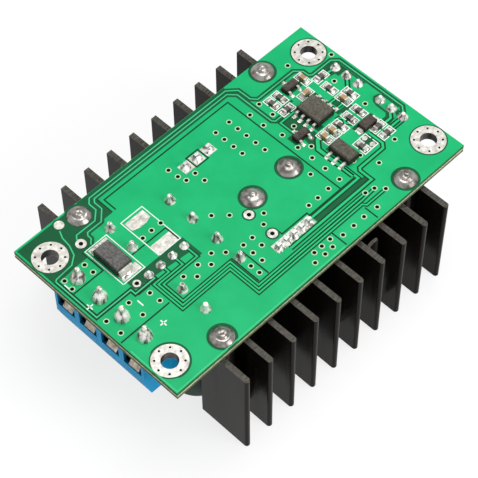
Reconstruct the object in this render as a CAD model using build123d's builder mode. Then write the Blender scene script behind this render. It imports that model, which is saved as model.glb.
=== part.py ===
from build123d import *
from math import asin, atan, cos, degrees, pi, radians, sin, sqrt
import os

os.makedirs("parts", exist_ok=True)

# Millimetres. The origin is the middle of the four mounting holes, on the solder side.
# +Z points out of the solder side, +X runs along the board away from the terminal block.

# Circuit board
board_length = 65.0
board_width = 36.5
board_thickness = 1.6
board_bottom = -board_thickness
mount_span_x = 58.6
mount_span_y = 26.8
mount_hole_r = 1.5
drill_clearance = 0.15
spare_hole_r = 0.42
spare_holes = [(-24.2, 11.85), (-23.2, 0.2), (-1.84, -3.03), (-1.84, -8.2)]

# Leads, their holes and their solder are many and small, so flats stand in for round walls
lead_side_count = 8
pin_side_count = 16

# Heatsinks, extruded along Z and sawn to length
module_depth = 22.0
sink_gap = 0.7
sink_face_y = 13.5
sink_depth = 10.0
sink_base = 1.7
fin_count = 10
fin_pitch = 5.05
fin_thickness = 1.05
fin_tip_r = 0.5
sink_top = board_bottom - sink_gap
sink_bottom = -module_depth
sink_height = sink_top - sink_bottom
end_fin_x = (fin_count - 1) / 2 * fin_pitch
sink_length = 2 * end_fin_x + fin_thickness

# The lip that one fin carries on its side
lip_fin = 6
lip_from_face = 6.3
lip_reach = 2.1
lip_thickness = 0.55
lip_sag = 0.18

# Solder pins of the heatsinks, pressed into round channels of the extrusion
sink_pin_r = 1.0
sink_pin_from_end_fin = 1.925
sink_pin_from_face = 2.5
sink_pin_seat = 7.0
sink_pin_above = 1.15
channel_wall = 0.85
channel_slit = 0.9
sink_pin_x = end_fin_x - sink_pin_from_end_fin
sink_pin_y = sink_face_y + sink_pin_from_face

# Upright power devices, with their metal tabs flat on the heatsinks
device_x = 0.3
tab_width = 10.0
tab_height = 15.6
tab_thickness = 1.3
tab_hole_r = 1.85
tab_hole_from_end = 2.8
case_height = 9.2
case_depth = 3.2
case_edge = 0.6
device_standoff = 3.0
device_lead_width = 0.8
device_lead_thickness = 0.5
device_lead_from_tab = 2.6
device_lead_above = 1.1
shoulder_width = 1.3
shoulder_height = 1.2
diode_pitch = 2.54
switch_pitch = 1.7
device_top = board_bottom - device_standoff
device_lead_y = sink_face_y - device_lead_from_tab
device_hole_z = device_top - tab_height + tab_hole_from_end

# Screws that hold the power devices
device_screw_r = 1.5
device_screw_length = 8.0
device_head_r = 2.6
device_head_height = 2.0
recess_width = 0.7
recess_depth = 1.1
washer_r = 2.7
washer_thickness = 0.6
washer_gap = 0.7

# Electrolytic capacitors
can_r = 5.0
can_height = 19.6
can_standoff = 0.2
can_edge = 0.5
groove_depth = 0.45
groove_width = 1.4
groove_from_board = 2.2
sleeve_rim = 0.8
sleeve_step = 0.3
can_lead_r = 0.35
can_lead_spacing = 5.08
can_lead_above = 1.5
can_outer_x = -19.05
can_outer_y = 8.15
can_inner_x = -8.65
can_inner_y = 5.3
can_top = board_bottom - can_standoff
can_places = [
    (can_outer_x, can_outer_y),
    (can_outer_x, -can_outer_y),
    (can_inner_x, can_inner_y),
    (can_inner_x, -can_inner_y),
]

# Wound inductor, standing on its rim under the board
coil_x = 5.2
coil_y = -1.05
core_outer_r = 6.8
core_inner_r = 3.6
core_width = 6.4
core_edge = 0.7
wire_r = 0.5
wire_clearance = 0.06
coil_lead_spacing = 8.35
coil_gap = 0.5
coil_lead_above = 1.2
coil_turns = 14
wound_r = core_outer_r + wire_clearance + wire_r
coil_z = board_bottom - coil_gap - wound_r - wire_r

# Indicator lamps
lamp_middle_x = -17.0
lamp_pitch = 5.08
lamp_r = 1.5
lamp_flange_r = 1.9
lamp_flange = 1.0
lamp_height = 5.3
lamp_standoff = 0.4
lamp_dome_angles = [40, 70]
lamp_lead_width = 0.45
lamp_lead_spacing = 2.54
lamp_lead_above = 0.9
lamp_places = [(lamp_middle_x - lamp_pitch / 2, 0), (lamp_middle_x + lamp_pitch / 2, 0)]

# Terminal block
block_front_x = -32.0
block_depth = 7.8
block_height = 10.1
block_y = -0.2
way_count = 4
way_pitch = 5.0
block_front_height = 6.3
block_front_slope = 1.3
block_back_height = 8.6
block_back_slope = 0.9
entry_width = 3.9
entry_height = 3.6
entry_lip = 0.6
cavity_clearance = 0.05
front_wall = 1.35
frame_depth = 4.0
frame_width = 4.1
frame_height = 5.6
frame_wall = 0.5
frame_floor = 0.4
frame_nut = 1.0
frame_seat = 0.1
block_pin_x = -29.0
block_pin_r = 0.5
block_pin_point = 0.8
block_pin_taper = 16
block_pin_above = 2.9
clamp_screw_x = -28.7
clamp_screw_r = 1.45
clamp_bore_clearance = 0.06
clamp_head_r = 1.8
clamp_head_height = 1.7
clamp_head_sunk = 0.5
head_bore_clearance = 0.15
slot_width = 0.6
slot_depth = 0.9
leaf_width = 2.2
leaf_thickness = 0.35
leaf_clearance = 0.05
leaf_front = 0.15
guard_rise = 1.35
guard_run = 1.0
leaf_back_room = 0.3
block_width = way_count * way_pitch
block_bottom = board_bottom
block_top = board_bottom - block_height
frame_front_x = block_front_x + front_wall
frame_low = block_bottom - frame_seat
frame_high = frame_low - frame_height
clamp_head_z = block_top + clamp_head_sunk + clamp_head_height
entry_low = block_bottom - entry_lip
entry_high = entry_low - entry_height
leaf_face_z = entry_high + leaf_clearance + guard_rise

# Multi-turn trimmers
trimmer_from_end = 2.55
trimmer_middle_y = 0.275
trimmer_gap = 0.52
trimmer_length = 9.53
trimmer_width = 4.83
trimmer_height = 10.0
trimmer_edge = 0.3
trimmer_foot = 0.4
trimmer_foot_width = 1.2
trimmer_pin_r = 0.27
trimmer_pin_pitch = 2.54
trimmer_pin_above = 1.1
adjuster_r = 1.1
adjuster_length = 2.6
adjuster_clearance = 0.05
adjuster_from_end = 1.9
adjuster_from_side = 1.9
adjuster_slot = 0.5
adjuster_slot_depth = 0.6
trimmer_x = board_length / 2 - trimmer_from_end
trimmer_shift = (trimmer_length + trimmer_gap) / 2
trimmer_places = [trimmer_middle_y + trimmer_shift, trimmer_middle_y - trimmer_shift]

# Current sense resistor, between its two formed ends
shunt_place = (-22.9, 5.9)
shunt_width = 3.15
shunt_length = 5.4
shunt_height = 1.8
shunt_lift = 0.15
shunt_end = 0.75
shunt_end_width = 2.7
shunt_end_thickness = 0.3
shunt_end_height = 1.1
shunt_edge = 0.2

# Eight-pin amplifier, which the other control parts are placed from
amp_from_trimmer = 9.45
amp_y = 3.6
amp_x = trimmer_x - amp_from_trimmer
amp_width = 3.9
amp_length = 4.9
amp_height = 1.5
amp_lead_pitch = 1.27
amp_lead_span = 6.0
amp_lead_width = 0.42

# Regulator with a wide body
reg_shift_x = -3.0
reg_shift_y = -9.15
reg_width = 2.45
reg_length = 4.5
reg_height = 1.5
reg_lead_pitch = 1.5
reg_lead_reach = 1.2
reg_lead_width = 0.45
reg_tab_reach = 0.35
reg_tab_width = 1.7

# Small three-lead transistors
small_shifts = [(0.95, 6.65), (-5.2, -1.7)]
small_body_length = 2.9
small_body_width = 1.3
small_body_height = 1.05
small_lead_reach = 0.8
small_lead_spacing = 1.9
small_lead_width = 0.42

# Surface diode
diode_shift_x = 4.1
diode_shift_y = -7.8
diode_length = 2.9
diode_width = 1.7
diode_height = 1.1
diode_end_reach = 0.55
diode_end_width = 1.0

# Leads that are bent from thin sheet
lead_sheet = 0.2
lead_foot = 0.45
body_lift = 0.1

# Bevel round the top of the larger and the smaller moulded cases
large_case_edge = 0.2
small_case_edge = 0.15

# Chip parts: shift from the amplifier, and True where the part lies along Y
chip_length = 1.6
chip_width = 0.8
chip_height = 0.45
chip_cap_length = 0.32
chip_cap_skin = 0.02
capacitor_height = 0.8
chip_resistors = [
    (-3.55, 6.4, True),
    (-1.75, 6.4, True),
    (-2.75, 3.8, False),
    (6.25, 4.65, False),
    (5.45, 1.9, True),
    (7.1, -1.3, True),
    (0.9, -4.8, True),
    (3.2, -4.8, True),
    (5.35, -4.85, True),
    (0.2, -10.25, True),
    (5.1, -9.3, False),
    (5.1, -11.2, False),
]
chip_capacitors = [
    (3.8, 6.4, True),
    (1.8, 3.9, False),
    (5.4, -1.4, True),
    (-2.65, -4.7, True),
    (-0.85, -4.7, True),
]

# Solder joints: pad radius, shoulder radius, shoulder height and full height
sink_joint = (2.1, 1.7, 0.7, 0.95)
coil_joint = (2.1, 1.6, 0.75, 1.0)
block_joint = (1.2, 0.8, 0.55, 1.5)
can_joint = (0.85, 0.65, 0.35, 0.7)
lamp_joint = (0.75, 0.55, 0.3, 0.5)
trimmer_joint = (0.9, 0.7, 0.4, 0.7)
solder_lip = 0.06
device_joint_width = 1.9
device_joint_height = 0.7
device_joint_taper = 30
device_joint_gap = 0.05


def upright(x, y, z=0.0):
    """A plane whose sketch runs along +X and +Z, and whose normal is -Y."""
    return Plane(origin=(x, y, z), x_dir=(1, 0, 0), z_dir=(0, -1, 0))


def crosswise(x, y, z=0.0):
    """A plane whose sketch runs along +Y and +Z, and whose normal is +X."""
    return Plane(origin=(x, y, z), x_dir=(0, 1, 0), z_dir=(1, 0, 0))


def facing(side):
    """A level plane at z = 0, turned half round about Z for the +Y heatsink."""
    return Plane(origin=(0, 0, 0), x_dir=(-side, 0, 0), z_dir=(0, 0, 1))


def from_amp(shift_x, shift_y):
    """A place on the board, given by its shift from the amplifier."""
    return (amp_x + shift_x, amp_y + shift_y)


def pair_along_y(place, spacing):
    """The two lead places of a part whose leads lie along Y."""
    x, y = place
    return [(x, y - spacing / 2), (x, y + spacing / 2)]


def row(count, pitch, middle=0.0):
    """Places along one line, evenly spaced about their middle."""
    return [middle + (i - (count - 1) / 2) * pitch for i in range(count)]


sink_pins = [(sx * sink_pin_x, sy * sink_pin_y) for sx in (-1, 1) for sy in (-1, 1)]
can_leads = [place for can in can_places for place in pair_along_y(can, can_lead_spacing)]
lamp_leads = [(x + dx, y) for x, y in lamp_places for dx in (-lamp_lead_spacing / 2, lamp_lead_spacing / 2)]
coil_leads = [(coil_x - coil_lead_spacing / 2, coil_y), (coil_x + coil_lead_spacing / 2, coil_y)]
block_ways = row(way_count, way_pitch, block_y)
block_pins = [(block_pin_x, y) for y in block_ways]
trimmer_pins = [(trimmer_x, y) for middle in trimmer_places for y in row(3, trimmer_pin_pitch, middle)]
diode_leads = [(x, device_lead_y) for x in row(3, diode_pitch, device_x)]
switch_leads = [(x, -device_lead_y) for x in row(5, switch_pitch, device_x)]
reg_x, reg_y = from_amp(reg_shift_x, reg_shift_y)
diode_x, diode_y = from_amp(diode_shift_x, diode_shift_y)
small_places = [from_amp(*shift) for shift in small_shifts]


# Circuit board
with BuildPart() as board:
    with BuildSketch(Plane.XY.offset(board_bottom)):
        Rectangle(board_length, board_width)
        with GridLocations(mount_span_x, mount_span_y, 2, 2):
            Circle(mount_hole_r, mode=Mode.SUBTRACT)
        with Locations(*sink_pins):
            RegularPolygon(sink_pin_r + drill_clearance, pin_side_count, mode=Mode.SUBTRACT)
        for places, lead_r in (
            (can_leads, can_lead_r),
            (lamp_leads, lamp_lead_width / sqrt(2)),
            (coil_leads, wire_r),
            (block_pins, block_pin_r),
            (trimmer_pins, trimmer_pin_r),
            (diode_leads, device_lead_width / 2),
            (switch_leads, device_lead_width / 2),
        ):
            with Locations(*places):
                RegularPolygon(lead_r + drill_clearance, lead_side_count, mode=Mode.SUBTRACT)
        with Locations(*spare_holes):
            RegularPolygon(spare_hole_r, lead_side_count, mode=Mode.SUBTRACT)
    extrude(amount=board_thickness)
board.part.label = "circuit_board"
export_step(board.part, "parts/circuit_board.step")


def heatsink(side):
    """One finned extrusion: flat base, fins, pin channels, a lip and the tapped screw hole."""
    base_y = -(sink_face_y + sink_base / 2)
    fin_length = sink_depth - sink_base
    fin_y = -(sink_face_y + sink_base + fin_length / 2)
    lip_x = (lip_fin - (fin_count - 1) / 2) * fin_pitch + fin_thickness / 2
    lip_y = -(sink_face_y + lip_from_face)
    with BuildPart() as sink:
        with BuildSketch(facing(side).offset(sink_bottom)) as profile:
            with Locations(*[(x, fin_y) for x in row(fin_count, fin_pitch)]):
                Rectangle(fin_thickness, fin_length)
            tips = profile.vertices().group_by(Axis.Y)[0 if side < 0 else -1]
            fillet(tips, fin_tip_r)
            with Locations((0, base_y)):
                Rectangle(sink_length, sink_base)
            for x in (-sink_pin_x, sink_pin_x):
                with Locations((x, -sink_pin_y)):
                    Circle(sink_pin_r + channel_wall)
                with Locations((x, -sink_pin_y)):
                    Circle(sink_pin_r, mode=Mode.SUBTRACT)
                with Locations((x, -sink_pin_y - sink_pin_r - channel_wall / 2)):
                    Rectangle(channel_slit, 2 * channel_wall, mode=Mode.SUBTRACT)
            with BuildLine() as lip:
                lip_end = (lip_x + lip_reach, lip_y + lip_sag)
                SagittaArc((lip_x - lip_thickness / 2, lip_y), lip_end, lip_sag)
            trace(lip.line, lip_thickness)
        extrude(amount=sink_height)
        with BuildSketch(upright(device_x, side * sink_face_y, device_hole_z)):
            Circle(device_screw_r)
        extrude(amount=-side * sink_base, mode=Mode.SUBTRACT)
    return sink


for side, name in ((-1, "heatsink_front"), (1, "heatsink_rear")):
    sink = heatsink(side)
    sink.part.label = name
    export_step(sink.part, f"parts/{name}.step")


# Solder pins of the heatsinks
with BuildPart() as pins:
    with BuildSketch(Plane.XY.offset(sink_top - sink_pin_seat)):
        with Locations(*sink_pins):
            RegularPolygon(sink_pin_r, pin_side_count)
    extrude(amount=sink_pin_above - sink_top + sink_pin_seat)
pins.part.label = "heatsink_pins"
export_step(pins.part, "parts/heatsink_pins.step")


def device_tab(side):
    """Metal tab of a power device, flat on its heatsink, with the screw hole."""
    with BuildPart() as tab:
        with BuildSketch(upright(device_x, side * sink_face_y, device_top - tab_height / 2)):
            Rectangle(tab_width, tab_height)
            with Locations((0, tab_hole_from_end - tab_height / 2)):
                Circle(tab_hole_r, mode=Mode.SUBTRACT)
        extrude(amount=side * tab_thickness)
    return tab


def device_case(side):
    """Moulded case in front of the tab, with its front edges bevelled."""
    back_y = side * (sink_face_y - tab_thickness)
    with BuildPart() as case:
        with BuildSketch(upright(device_x, back_y, device_top - case_height / 2)):
            Rectangle(tab_width, case_height)
        extrude(amount=side * case_depth)
        front = case.faces().sort_by(Axis.Y)[0 if side > 0 else -1]
        chamfer(front.edges(), case_edge)
    return case


def device_leads(places, wide):
    """Straight flat leads from the case through the board, with broad shoulders where wide."""
    with BuildPart() as leads:
        with BuildSketch(Plane.XY.offset(device_top)):
            with Locations(*places):
                Rectangle(device_lead_width, device_lead_thickness)
        extrude(amount=device_lead_above - device_top)
        if wide:
            with BuildSketch(Plane.XY.offset(device_top)):
                with Locations(*places):
                    Rectangle(shoulder_width, device_lead_thickness)
            extrude(amount=shoulder_height)
    return leads


for side, name, places in ((1, "diode", diode_leads), (-1, "switch", switch_leads)):
    tab = device_tab(side)
    tab.part.label = f"{name}_tab"
    export_step(tab.part, f"parts/{name}_tab.step")
    case = device_case(side)
    case.part.label = f"{name}_case"
    export_step(case.part, f"parts/{name}_case.step")
    leads = device_leads(places, wide=side > 0)
    leads.part.label = f"{name}_leads"
    export_step(leads.part, f"parts/{name}_leads.step")


# Screws and spring washers of the power devices
with BuildPart() as screws:
    for side in (1, -1):
        seat_y = side * (sink_face_y - tab_thickness - washer_thickness)
        with BuildSketch(upright(device_x, seat_y, device_hole_z)):
            Circle(device_screw_r)
        extrude(amount=-side * device_screw_length)
        with BuildSketch(upright(device_x, seat_y, device_hole_z)):
            Circle(device_head_r)
        extrude(amount=side * device_head_height)
        with BuildSketch(upright(device_x, seat_y - side * device_head_height, device_hole_z)):
            Rectangle(2 * device_screw_r, recess_width)
            Rectangle(recess_width, 2 * device_screw_r)
        extrude(amount=-side * recess_depth, mode=Mode.SUBTRACT)
screws.part.label = "device_screws"
export_step(screws.part, "parts/device_screws.step")

with BuildPart() as washers:
    for side in (1, -1):
        with BuildSketch(upright(device_x, side * (sink_face_y - tab_thickness), device_hole_z)):
            Circle(washer_r)
            Circle(device_screw_r, mode=Mode.SUBTRACT)
            with Locations((-washer_r, 0)):
                Rectangle(2 * washer_r - device_screw_r, washer_gap, mode=Mode.SUBTRACT)
        extrude(amount=side * washer_thickness)
washers.part.label = "device_washers"
export_step(washers.part, "parts/device_washers.step")


def capacitor(place):
    """Sealed can in its sleeve: rolled groove by the board, bare end inside the sleeve's rim."""
    x, y = place
    groove_z = -groove_from_board
    with BuildPart() as can:
        with BuildSketch(upright(x, y, can_top)):
            with BuildLine():
                Polyline(
                    (0, 0),
                    (can_r - can_edge, 0),
                    (can_r, -can_edge),
                    (can_r, groove_z + groove_width / 2),
                    (can_r - groove_depth, groove_z),
                    (can_r, groove_z - groove_width / 2),
                    (can_r, can_edge - can_height),
                    (can_r - can_edge, -can_height),
                    (can_r - sleeve_rim, -can_height),
                    (can_r - sleeve_rim, sleeve_step - can_height),
                    (0, sleeve_step - can_height),
                    close=True,
                )
            make_face()
        revolve(axis=Axis((x, y, 0), (0, 0, 1)))
    return can


for number, place in enumerate(can_places, start=1):
    can = capacitor(place)
    can.part.label = f"capacitor_{number}"
    export_step(can.part, f"parts/capacitor_{number}.step")

with BuildPart() as can_wires:
    with BuildSketch(Plane.XY.offset(can_top)):
        with Locations(*can_leads):
            RegularPolygon(can_lead_r, lead_side_count)
    extrude(amount=can_lead_above - can_top)
can_wires.part.label = "capacitor_leads"
export_step(can_wires.part, "parts/capacitor_leads.step")


# Ring core of the inductor
with BuildPart() as core:
    with BuildSketch(upright(coil_x, coil_y + core_width / 2, coil_z)):
        Circle(core_outer_r)
        Circle(core_inner_r, mode=Mode.SUBTRACT)
    extrude(amount=core_width)
    chamfer(core.edges().filter_by(GeomType.CIRCLE).sort_by(SortBy.RADIUS)[-2:], core_edge)
core.part.label = "inductor_core"
export_step(core.part, "parts/inductor_core.step")


def coil_point(angle, radius, y):
    """A point round the coil's axis, with the angle in degrees from +Z towards +X."""
    a = radians(angle)
    return (coil_x + radius * sin(a), coil_y + y, coil_z + radius * cos(a))


def coil_path():
    """One wire from lead to lead: up each face, through the hole and slanting over the rim."""
    lead_angle = degrees(asin(coil_lead_spacing / 2 / wound_r))
    step = (360 - 2 * lead_angle) / coil_turns
    inner_r = core_inner_r - wire_clearance - wire_r
    outer_r = wound_r / cos(radians(step / 2))
    face_y = core_width / 2 + wire_clearance + wire_r
    lead_top = (coil_leads[1][0], coil_y, coil_lead_above)
    points = [lead_top, coil_point(lead_angle, wound_r, 0)]
    for turn in range(coil_turns):
        start = lead_angle + turn * step
        if turn > 0:
            points.append(coil_point(start, outer_r, -face_y))
        else:
            points.append(coil_point(start, wound_r, -face_y))
        points.append(coil_point(start + step / 2, inner_r, -face_y))
        points.append(coil_point(start + step / 2, inner_r, face_y))
        if turn < coil_turns - 1:
            points.append(coil_point(start + step, outer_r, face_y))
        else:
            points.append(coil_point(start + step, wound_r, face_y))
    points.append(coil_point(-lead_angle, wound_r, 0))
    points.append((coil_leads[0][0], coil_y, coil_lead_above))
    return points


with BuildPart() as winding:
    with BuildLine() as wire_path:
        Polyline(*coil_path())
    with BuildSketch(Plane.XY.offset(coil_lead_above)):
        with Locations(coil_leads[1]):
            RegularPolygon(wire_r, lead_side_count)
    sweep(path=wire_path.line, transition=Transition.RIGHT)
winding.part.label = "inductor_winding"
export_step(winding.part, "parts/inductor_winding.step")


def lamp(place):
    """Indicator lamp: flange by the board, round body and domed end, pointing away from the board."""
    x, y = place
    top = board_bottom - lamp_standoff
    dome_z = lamp_r - lamp_height
    dome = [(lamp_r * cos(radians(a)), dome_z - lamp_r * sin(radians(a))) for a in lamp_dome_angles]
    with BuildPart() as lens:
        with BuildSketch(upright(x, y, top)):
            with BuildLine():
                Polyline(
                    (0, 0),
                    (lamp_flange_r, 0),
                    (lamp_flange_r, -lamp_flange),
                    (lamp_r, -lamp_flange),
                    (lamp_r, dome_z),
                    *dome,
                    (0, -lamp_height),
                    close=True,
                )
            make_face()
        revolve(axis=Axis((x, y, 0), (0, 0, 1)))
    return lens


for number, place in enumerate(lamp_places, start=1):
    lens = lamp(place)
    lens.part.label = f"lamp_{number}"
    export_step(lens.part, f"parts/lamp_{number}.step")

with BuildPart() as lamp_wires:
    with BuildSketch(Plane.XY.offset(board_bottom - lamp_standoff)):
        with Locations(*lamp_leads):
            Rectangle(lamp_lead_width, lamp_lead_width)
    extrude(amount=lamp_lead_above - board_bottom + lamp_standoff)
lamp_wires.part.label = "lamp_leads"
export_step(lamp_wires.part, "parts/lamp_leads.step")


# Terminal block housing
with BuildPart() as housing:
    with BuildSketch(upright(block_front_x, block_y + block_width / 2, block_bottom)):
        with BuildLine():
            Polyline(
                (0, 0),
                (0, -block_front_height),
                (block_front_slope, -block_height),
                (block_depth - block_back_slope, -block_height),
                (block_depth, -block_back_height),
                (block_depth, 0),
                close=True,
            )
        make_face()
    extrude(amount=block_width)
    cavity_width = frame_width + 2 * cavity_clearance
    cavity_depth = frame_depth + 2 * cavity_clearance
    with BuildSketch(Plane.XY.offset(block_bottom)):
        with Locations(*[(frame_front_x + frame_depth / 2, y) for y in block_ways]):
            Rectangle(cavity_depth, cavity_width)
    extrude(amount=-(frame_seat + frame_height + cavity_clearance), mode=Mode.SUBTRACT)
    with BuildSketch(crosswise(block_front_x, 0, (entry_low + entry_high) / 2)):
        with Locations(*[(y, 0) for y in block_ways]):
            Rectangle(entry_width, entry_height)
    extrude(amount=front_wall, mode=Mode.SUBTRACT)
    with BuildSketch(Plane.XY.offset(block_top)):
        with Locations(*[(clamp_screw_x, y) for y in block_ways]):
            Circle(clamp_head_r + head_bore_clearance)
    extrude(amount=frame_high - block_top, mode=Mode.SUBTRACT)
housing.part.label = "terminal_housing"
export_step(housing.part, "parts/terminal_housing.step")


def contact_frame(y):
    """Folded contact frame: floor by the board, two sides, tapped top and the solder pin."""
    inner_width = frame_width - 2 * frame_wall
    inner_height = frame_height - frame_nut - frame_floor
    with BuildPart() as frame:
        with BuildSketch(crosswise(frame_front_x, y, (frame_low + frame_high) / 2)):
            Rectangle(frame_width, frame_height)
            with Locations((0, (frame_nut - frame_floor) / 2)):
                Rectangle(inner_width, inner_height, mode=Mode.SUBTRACT)
        extrude(amount=frame_depth)
        with BuildSketch(Plane.XY.offset(frame_high)):
            with Locations((clamp_screw_x, y)):
                Circle(clamp_screw_r + clamp_bore_clearance)
        extrude(amount=frame_nut, mode=Mode.SUBTRACT)
        with BuildSketch(Plane.XY.offset(frame_low)):
            with Locations((block_pin_x, y)):
                RegularPolygon(block_pin_r, lead_side_count)
        extrude(amount=block_pin_above - block_pin_point - frame_low)
        with BuildSketch(Plane.XY.offset(block_pin_above - block_pin_point)):
            with Locations((block_pin_x, y)):
                RegularPolygon(block_pin_r, lead_side_count)
        extrude(amount=block_pin_point, taper=block_pin_taper)
    return frame


def clamp_leaf(y):
    """Clamp leaf: a flat under the screw's end, and a guard that slopes up to the wire entry."""
    tip_x = block_front_x + leaf_front
    flat_x = tip_x + guard_run
    back_x = frame_front_x + frame_depth - leaf_back_room
    with BuildPart() as leaf:
        with BuildSketch(upright(0, y + leaf_width / 2)):
            with BuildLine():
                Polyline(
                    (tip_x, leaf_face_z - guard_rise),
                    (flat_x, leaf_face_z),
                    (back_x, leaf_face_z),
                    (back_x, leaf_face_z - leaf_thickness),
                    (flat_x + leaf_thickness / 2, leaf_face_z - leaf_thickness),
                    (tip_x + leaf_thickness, leaf_face_z - guard_rise),
                    close=True,
                )
            make_face()
        extrude(amount=leaf_width)
    return leaf


def clamp_screw(y):
    """Slotted clamp screw, from its sunk head to the clamp leaf."""
    shank_top = clamp_head_z
    shank_end = leaf_face_z - leaf_thickness
    with BuildPart() as screw:
        with BuildSketch(Plane.XY.offset(shank_top)):
            with Locations((clamp_screw_x, y)):
                Circle(clamp_screw_r)
        extrude(amount=shank_end - shank_top)
        with BuildSketch(Plane.XY.offset(shank_top)):
            with Locations((clamp_screw_x, y)):
                Circle(clamp_head_r)
        extrude(amount=-clamp_head_height)
        with BuildSketch(Plane.XY.offset(shank_top - clamp_head_height)):
            with Locations((clamp_screw_x, y)):
                Rectangle(slot_width, 3 * clamp_head_r)
        extrude(amount=slot_depth, mode=Mode.SUBTRACT)
    return screw


for number, y in enumerate(block_ways, start=1):
    frame = contact_frame(y)
    frame.part.label = f"contact_frame_{number}"
    export_step(frame.part, f"parts/contact_frame_{number}.step")
    leaf = clamp_leaf(y)
    leaf.part.label = f"clamp_leaf_{number}"
    export_step(leaf.part, f"parts/clamp_leaf_{number}.step")
    screw = clamp_screw(y)
    screw.part.label = f"clamp_screw_{number}"
    export_step(screw.part, f"parts/clamp_screw_{number}.step")


def adjuster_place(middle):
    """Where a trimmer's adjusting screw stands, near one corner of its body."""
    x = trimmer_x + trimmer_width / 2 - adjuster_from_side
    return (x, middle + trimmer_length / 2 - adjuster_from_end)


def trimmer(middle):
    """Trimmer body on two feet, with the hole for its adjusting screw."""
    foot_y = trimmer_length / 2 - trimmer_foot_width / 2
    seat = board_bottom - trimmer_foot
    with BuildPart() as body:
        with BuildSketch(Plane.XY.offset(seat)):
            with Locations((trimmer_x, middle)):
                Rectangle(trimmer_width, trimmer_length)
        extrude(amount=trimmer_foot - trimmer_height)
        chamfer(body.edges().group_by(Axis.Z)[0], trimmer_edge)
        with BuildSketch(Plane.XY.offset(seat)):
            with Locations((trimmer_x, middle - foot_y), (trimmer_x, middle + foot_y)):
                Rectangle(trimmer_width, trimmer_foot_width)
        extrude(amount=trimmer_foot)
        with BuildSketch(Plane.XY.offset(board_bottom - trimmer_height)):
            with Locations(adjuster_place(middle)):
                Circle(adjuster_r + adjuster_clearance)
        extrude(amount=adjuster_length + adjuster_clearance, mode=Mode.SUBTRACT)
    return body


def adjuster(middle):
    """Slotted adjusting screw, flush with the trimmer's end."""
    end = board_bottom - trimmer_height
    with BuildPart() as screw:
        with BuildSketch(Plane.XY.offset(end)):
            with Locations(adjuster_place(middle)):
                Circle(adjuster_r)
        extrude(amount=adjuster_length)
        with BuildSketch(Plane.XY.offset(end)):
            with Locations(adjuster_place(middle)):
                Rectangle(3 * adjuster_r, adjuster_slot)
        extrude(amount=adjuster_slot_depth, mode=Mode.SUBTRACT)
    return screw


for number, middle in enumerate(trimmer_places, start=1):
    body = trimmer(middle)
    body.part.label = f"trimmer_{number}"
    export_step(body.part, f"parts/trimmer_{number}.step")
    screw = adjuster(middle)
    screw.part.label = f"trimmer_screw_{number}"
    export_step(screw.part, f"parts/trimmer_screw_{number}.step")

with BuildPart() as trimmer_wires:
    with BuildSketch(Plane.XY.offset(board_bottom - trimmer_foot)):
        with Locations(*trimmer_pins):
            RegularPolygon(trimmer_pin_r, lead_side_count)
    extrude(amount=trimmer_pin_above - board_bottom + trimmer_foot)
trimmer_wires.part.label = "trimmer_pins"
export_step(trimmer_wires.part, "parts/trimmer_pins.step")


# Current sense resistor
with BuildPart() as shunt:
    with BuildSketch(Plane.XY.offset(shunt_lift)):
        with Locations(shunt_place):
            Rectangle(shunt_width, shunt_length)
    extrude(amount=shunt_height - shunt_lift)
    chamfer(shunt.edges().group_by(Axis.Z)[-1], shunt_edge)
shunt.part.label = "shunt_body"
export_step(shunt.part, "parts/shunt_body.step")

with BuildPart() as shunt_ends:
    for side in (-1, 1):
        edge_y = shunt_place[1] + side * shunt_length / 2
        profile_plane = crosswise(shunt_place[0] - shunt_end_width / 2, edge_y)
        with BuildSketch(profile_plane):
            with BuildLine():
                Polyline(
                    (0, 0),
                    (side * shunt_end, 0),
                    (side * shunt_end, shunt_end_thickness),
                    (side * shunt_end_thickness, shunt_end_height),
                    (0, shunt_end_height),
                    close=True,
                )
            make_face()
        extrude(amount=shunt_end_width)
shunt_ends.part.label = "shunt_ends"
export_step(shunt_ends.part, "parts/shunt_ends.step")


def bent_lead(x, y, turn, reach, rise):
    """Side view of a lead that leaves a case at mid height and bends down to a foot on the board."""
    a = radians(turn)
    side_plane = Plane(origin=(x, y, 0), x_dir=(cos(a), sin(a), 0), z_dir=(sin(a), -cos(a), 0))
    with BuildSketch(side_plane) as lead:
        with BuildLine():
            Polyline(
                (0, rise),
                (reach - lead_foot, rise),
                (reach - lead_foot + lead_sheet, lead_sheet),
                (reach, lead_sheet),
                (reach, 0),
                (reach - lead_foot, 0),
                (reach - lead_foot - lead_sheet, rise - lead_sheet),
                (0, rise - lead_sheet),
                close=True,
            )
        make_face()
    return lead.sketch


with BuildPart() as amp:
    with BuildSketch(Plane.XY.offset(body_lift)):
        with Locations((amp_x, amp_y)):
            Rectangle(amp_width, amp_length)
    extrude(amount=amp_height - body_lift)
    chamfer(amp.edges().group_by(Axis.Z)[-1], large_case_edge)
amp.part.label = "amplifier_body"
export_step(amp.part, "parts/amplifier_body.step")

with BuildPart() as amp_leads:
    for y in row(4, amp_lead_pitch, amp_y):
        for side, turn in ((-1, 180), (1, 0)):
            x = amp_x + side * amp_width / 2
            lead = bent_lead(x, y, turn, (amp_lead_span - amp_width) / 2, amp_height / 2)
            extrude(lead, amount=amp_lead_width / 2, both=True)
amp_leads.part.label = "amplifier_leads"
export_step(amp_leads.part, "parts/amplifier_leads.step")

with BuildPart() as reg:
    with BuildSketch(Plane.XY.offset(body_lift)):
        with Locations((reg_x, reg_y)):
            Rectangle(reg_width, reg_length)
    extrude(amount=reg_height - body_lift)
    chamfer(reg.edges().group_by(Axis.Z)[-1], large_case_edge)
reg.part.label = "regulator_body"
export_step(reg.part, "parts/regulator_body.step")

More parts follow.
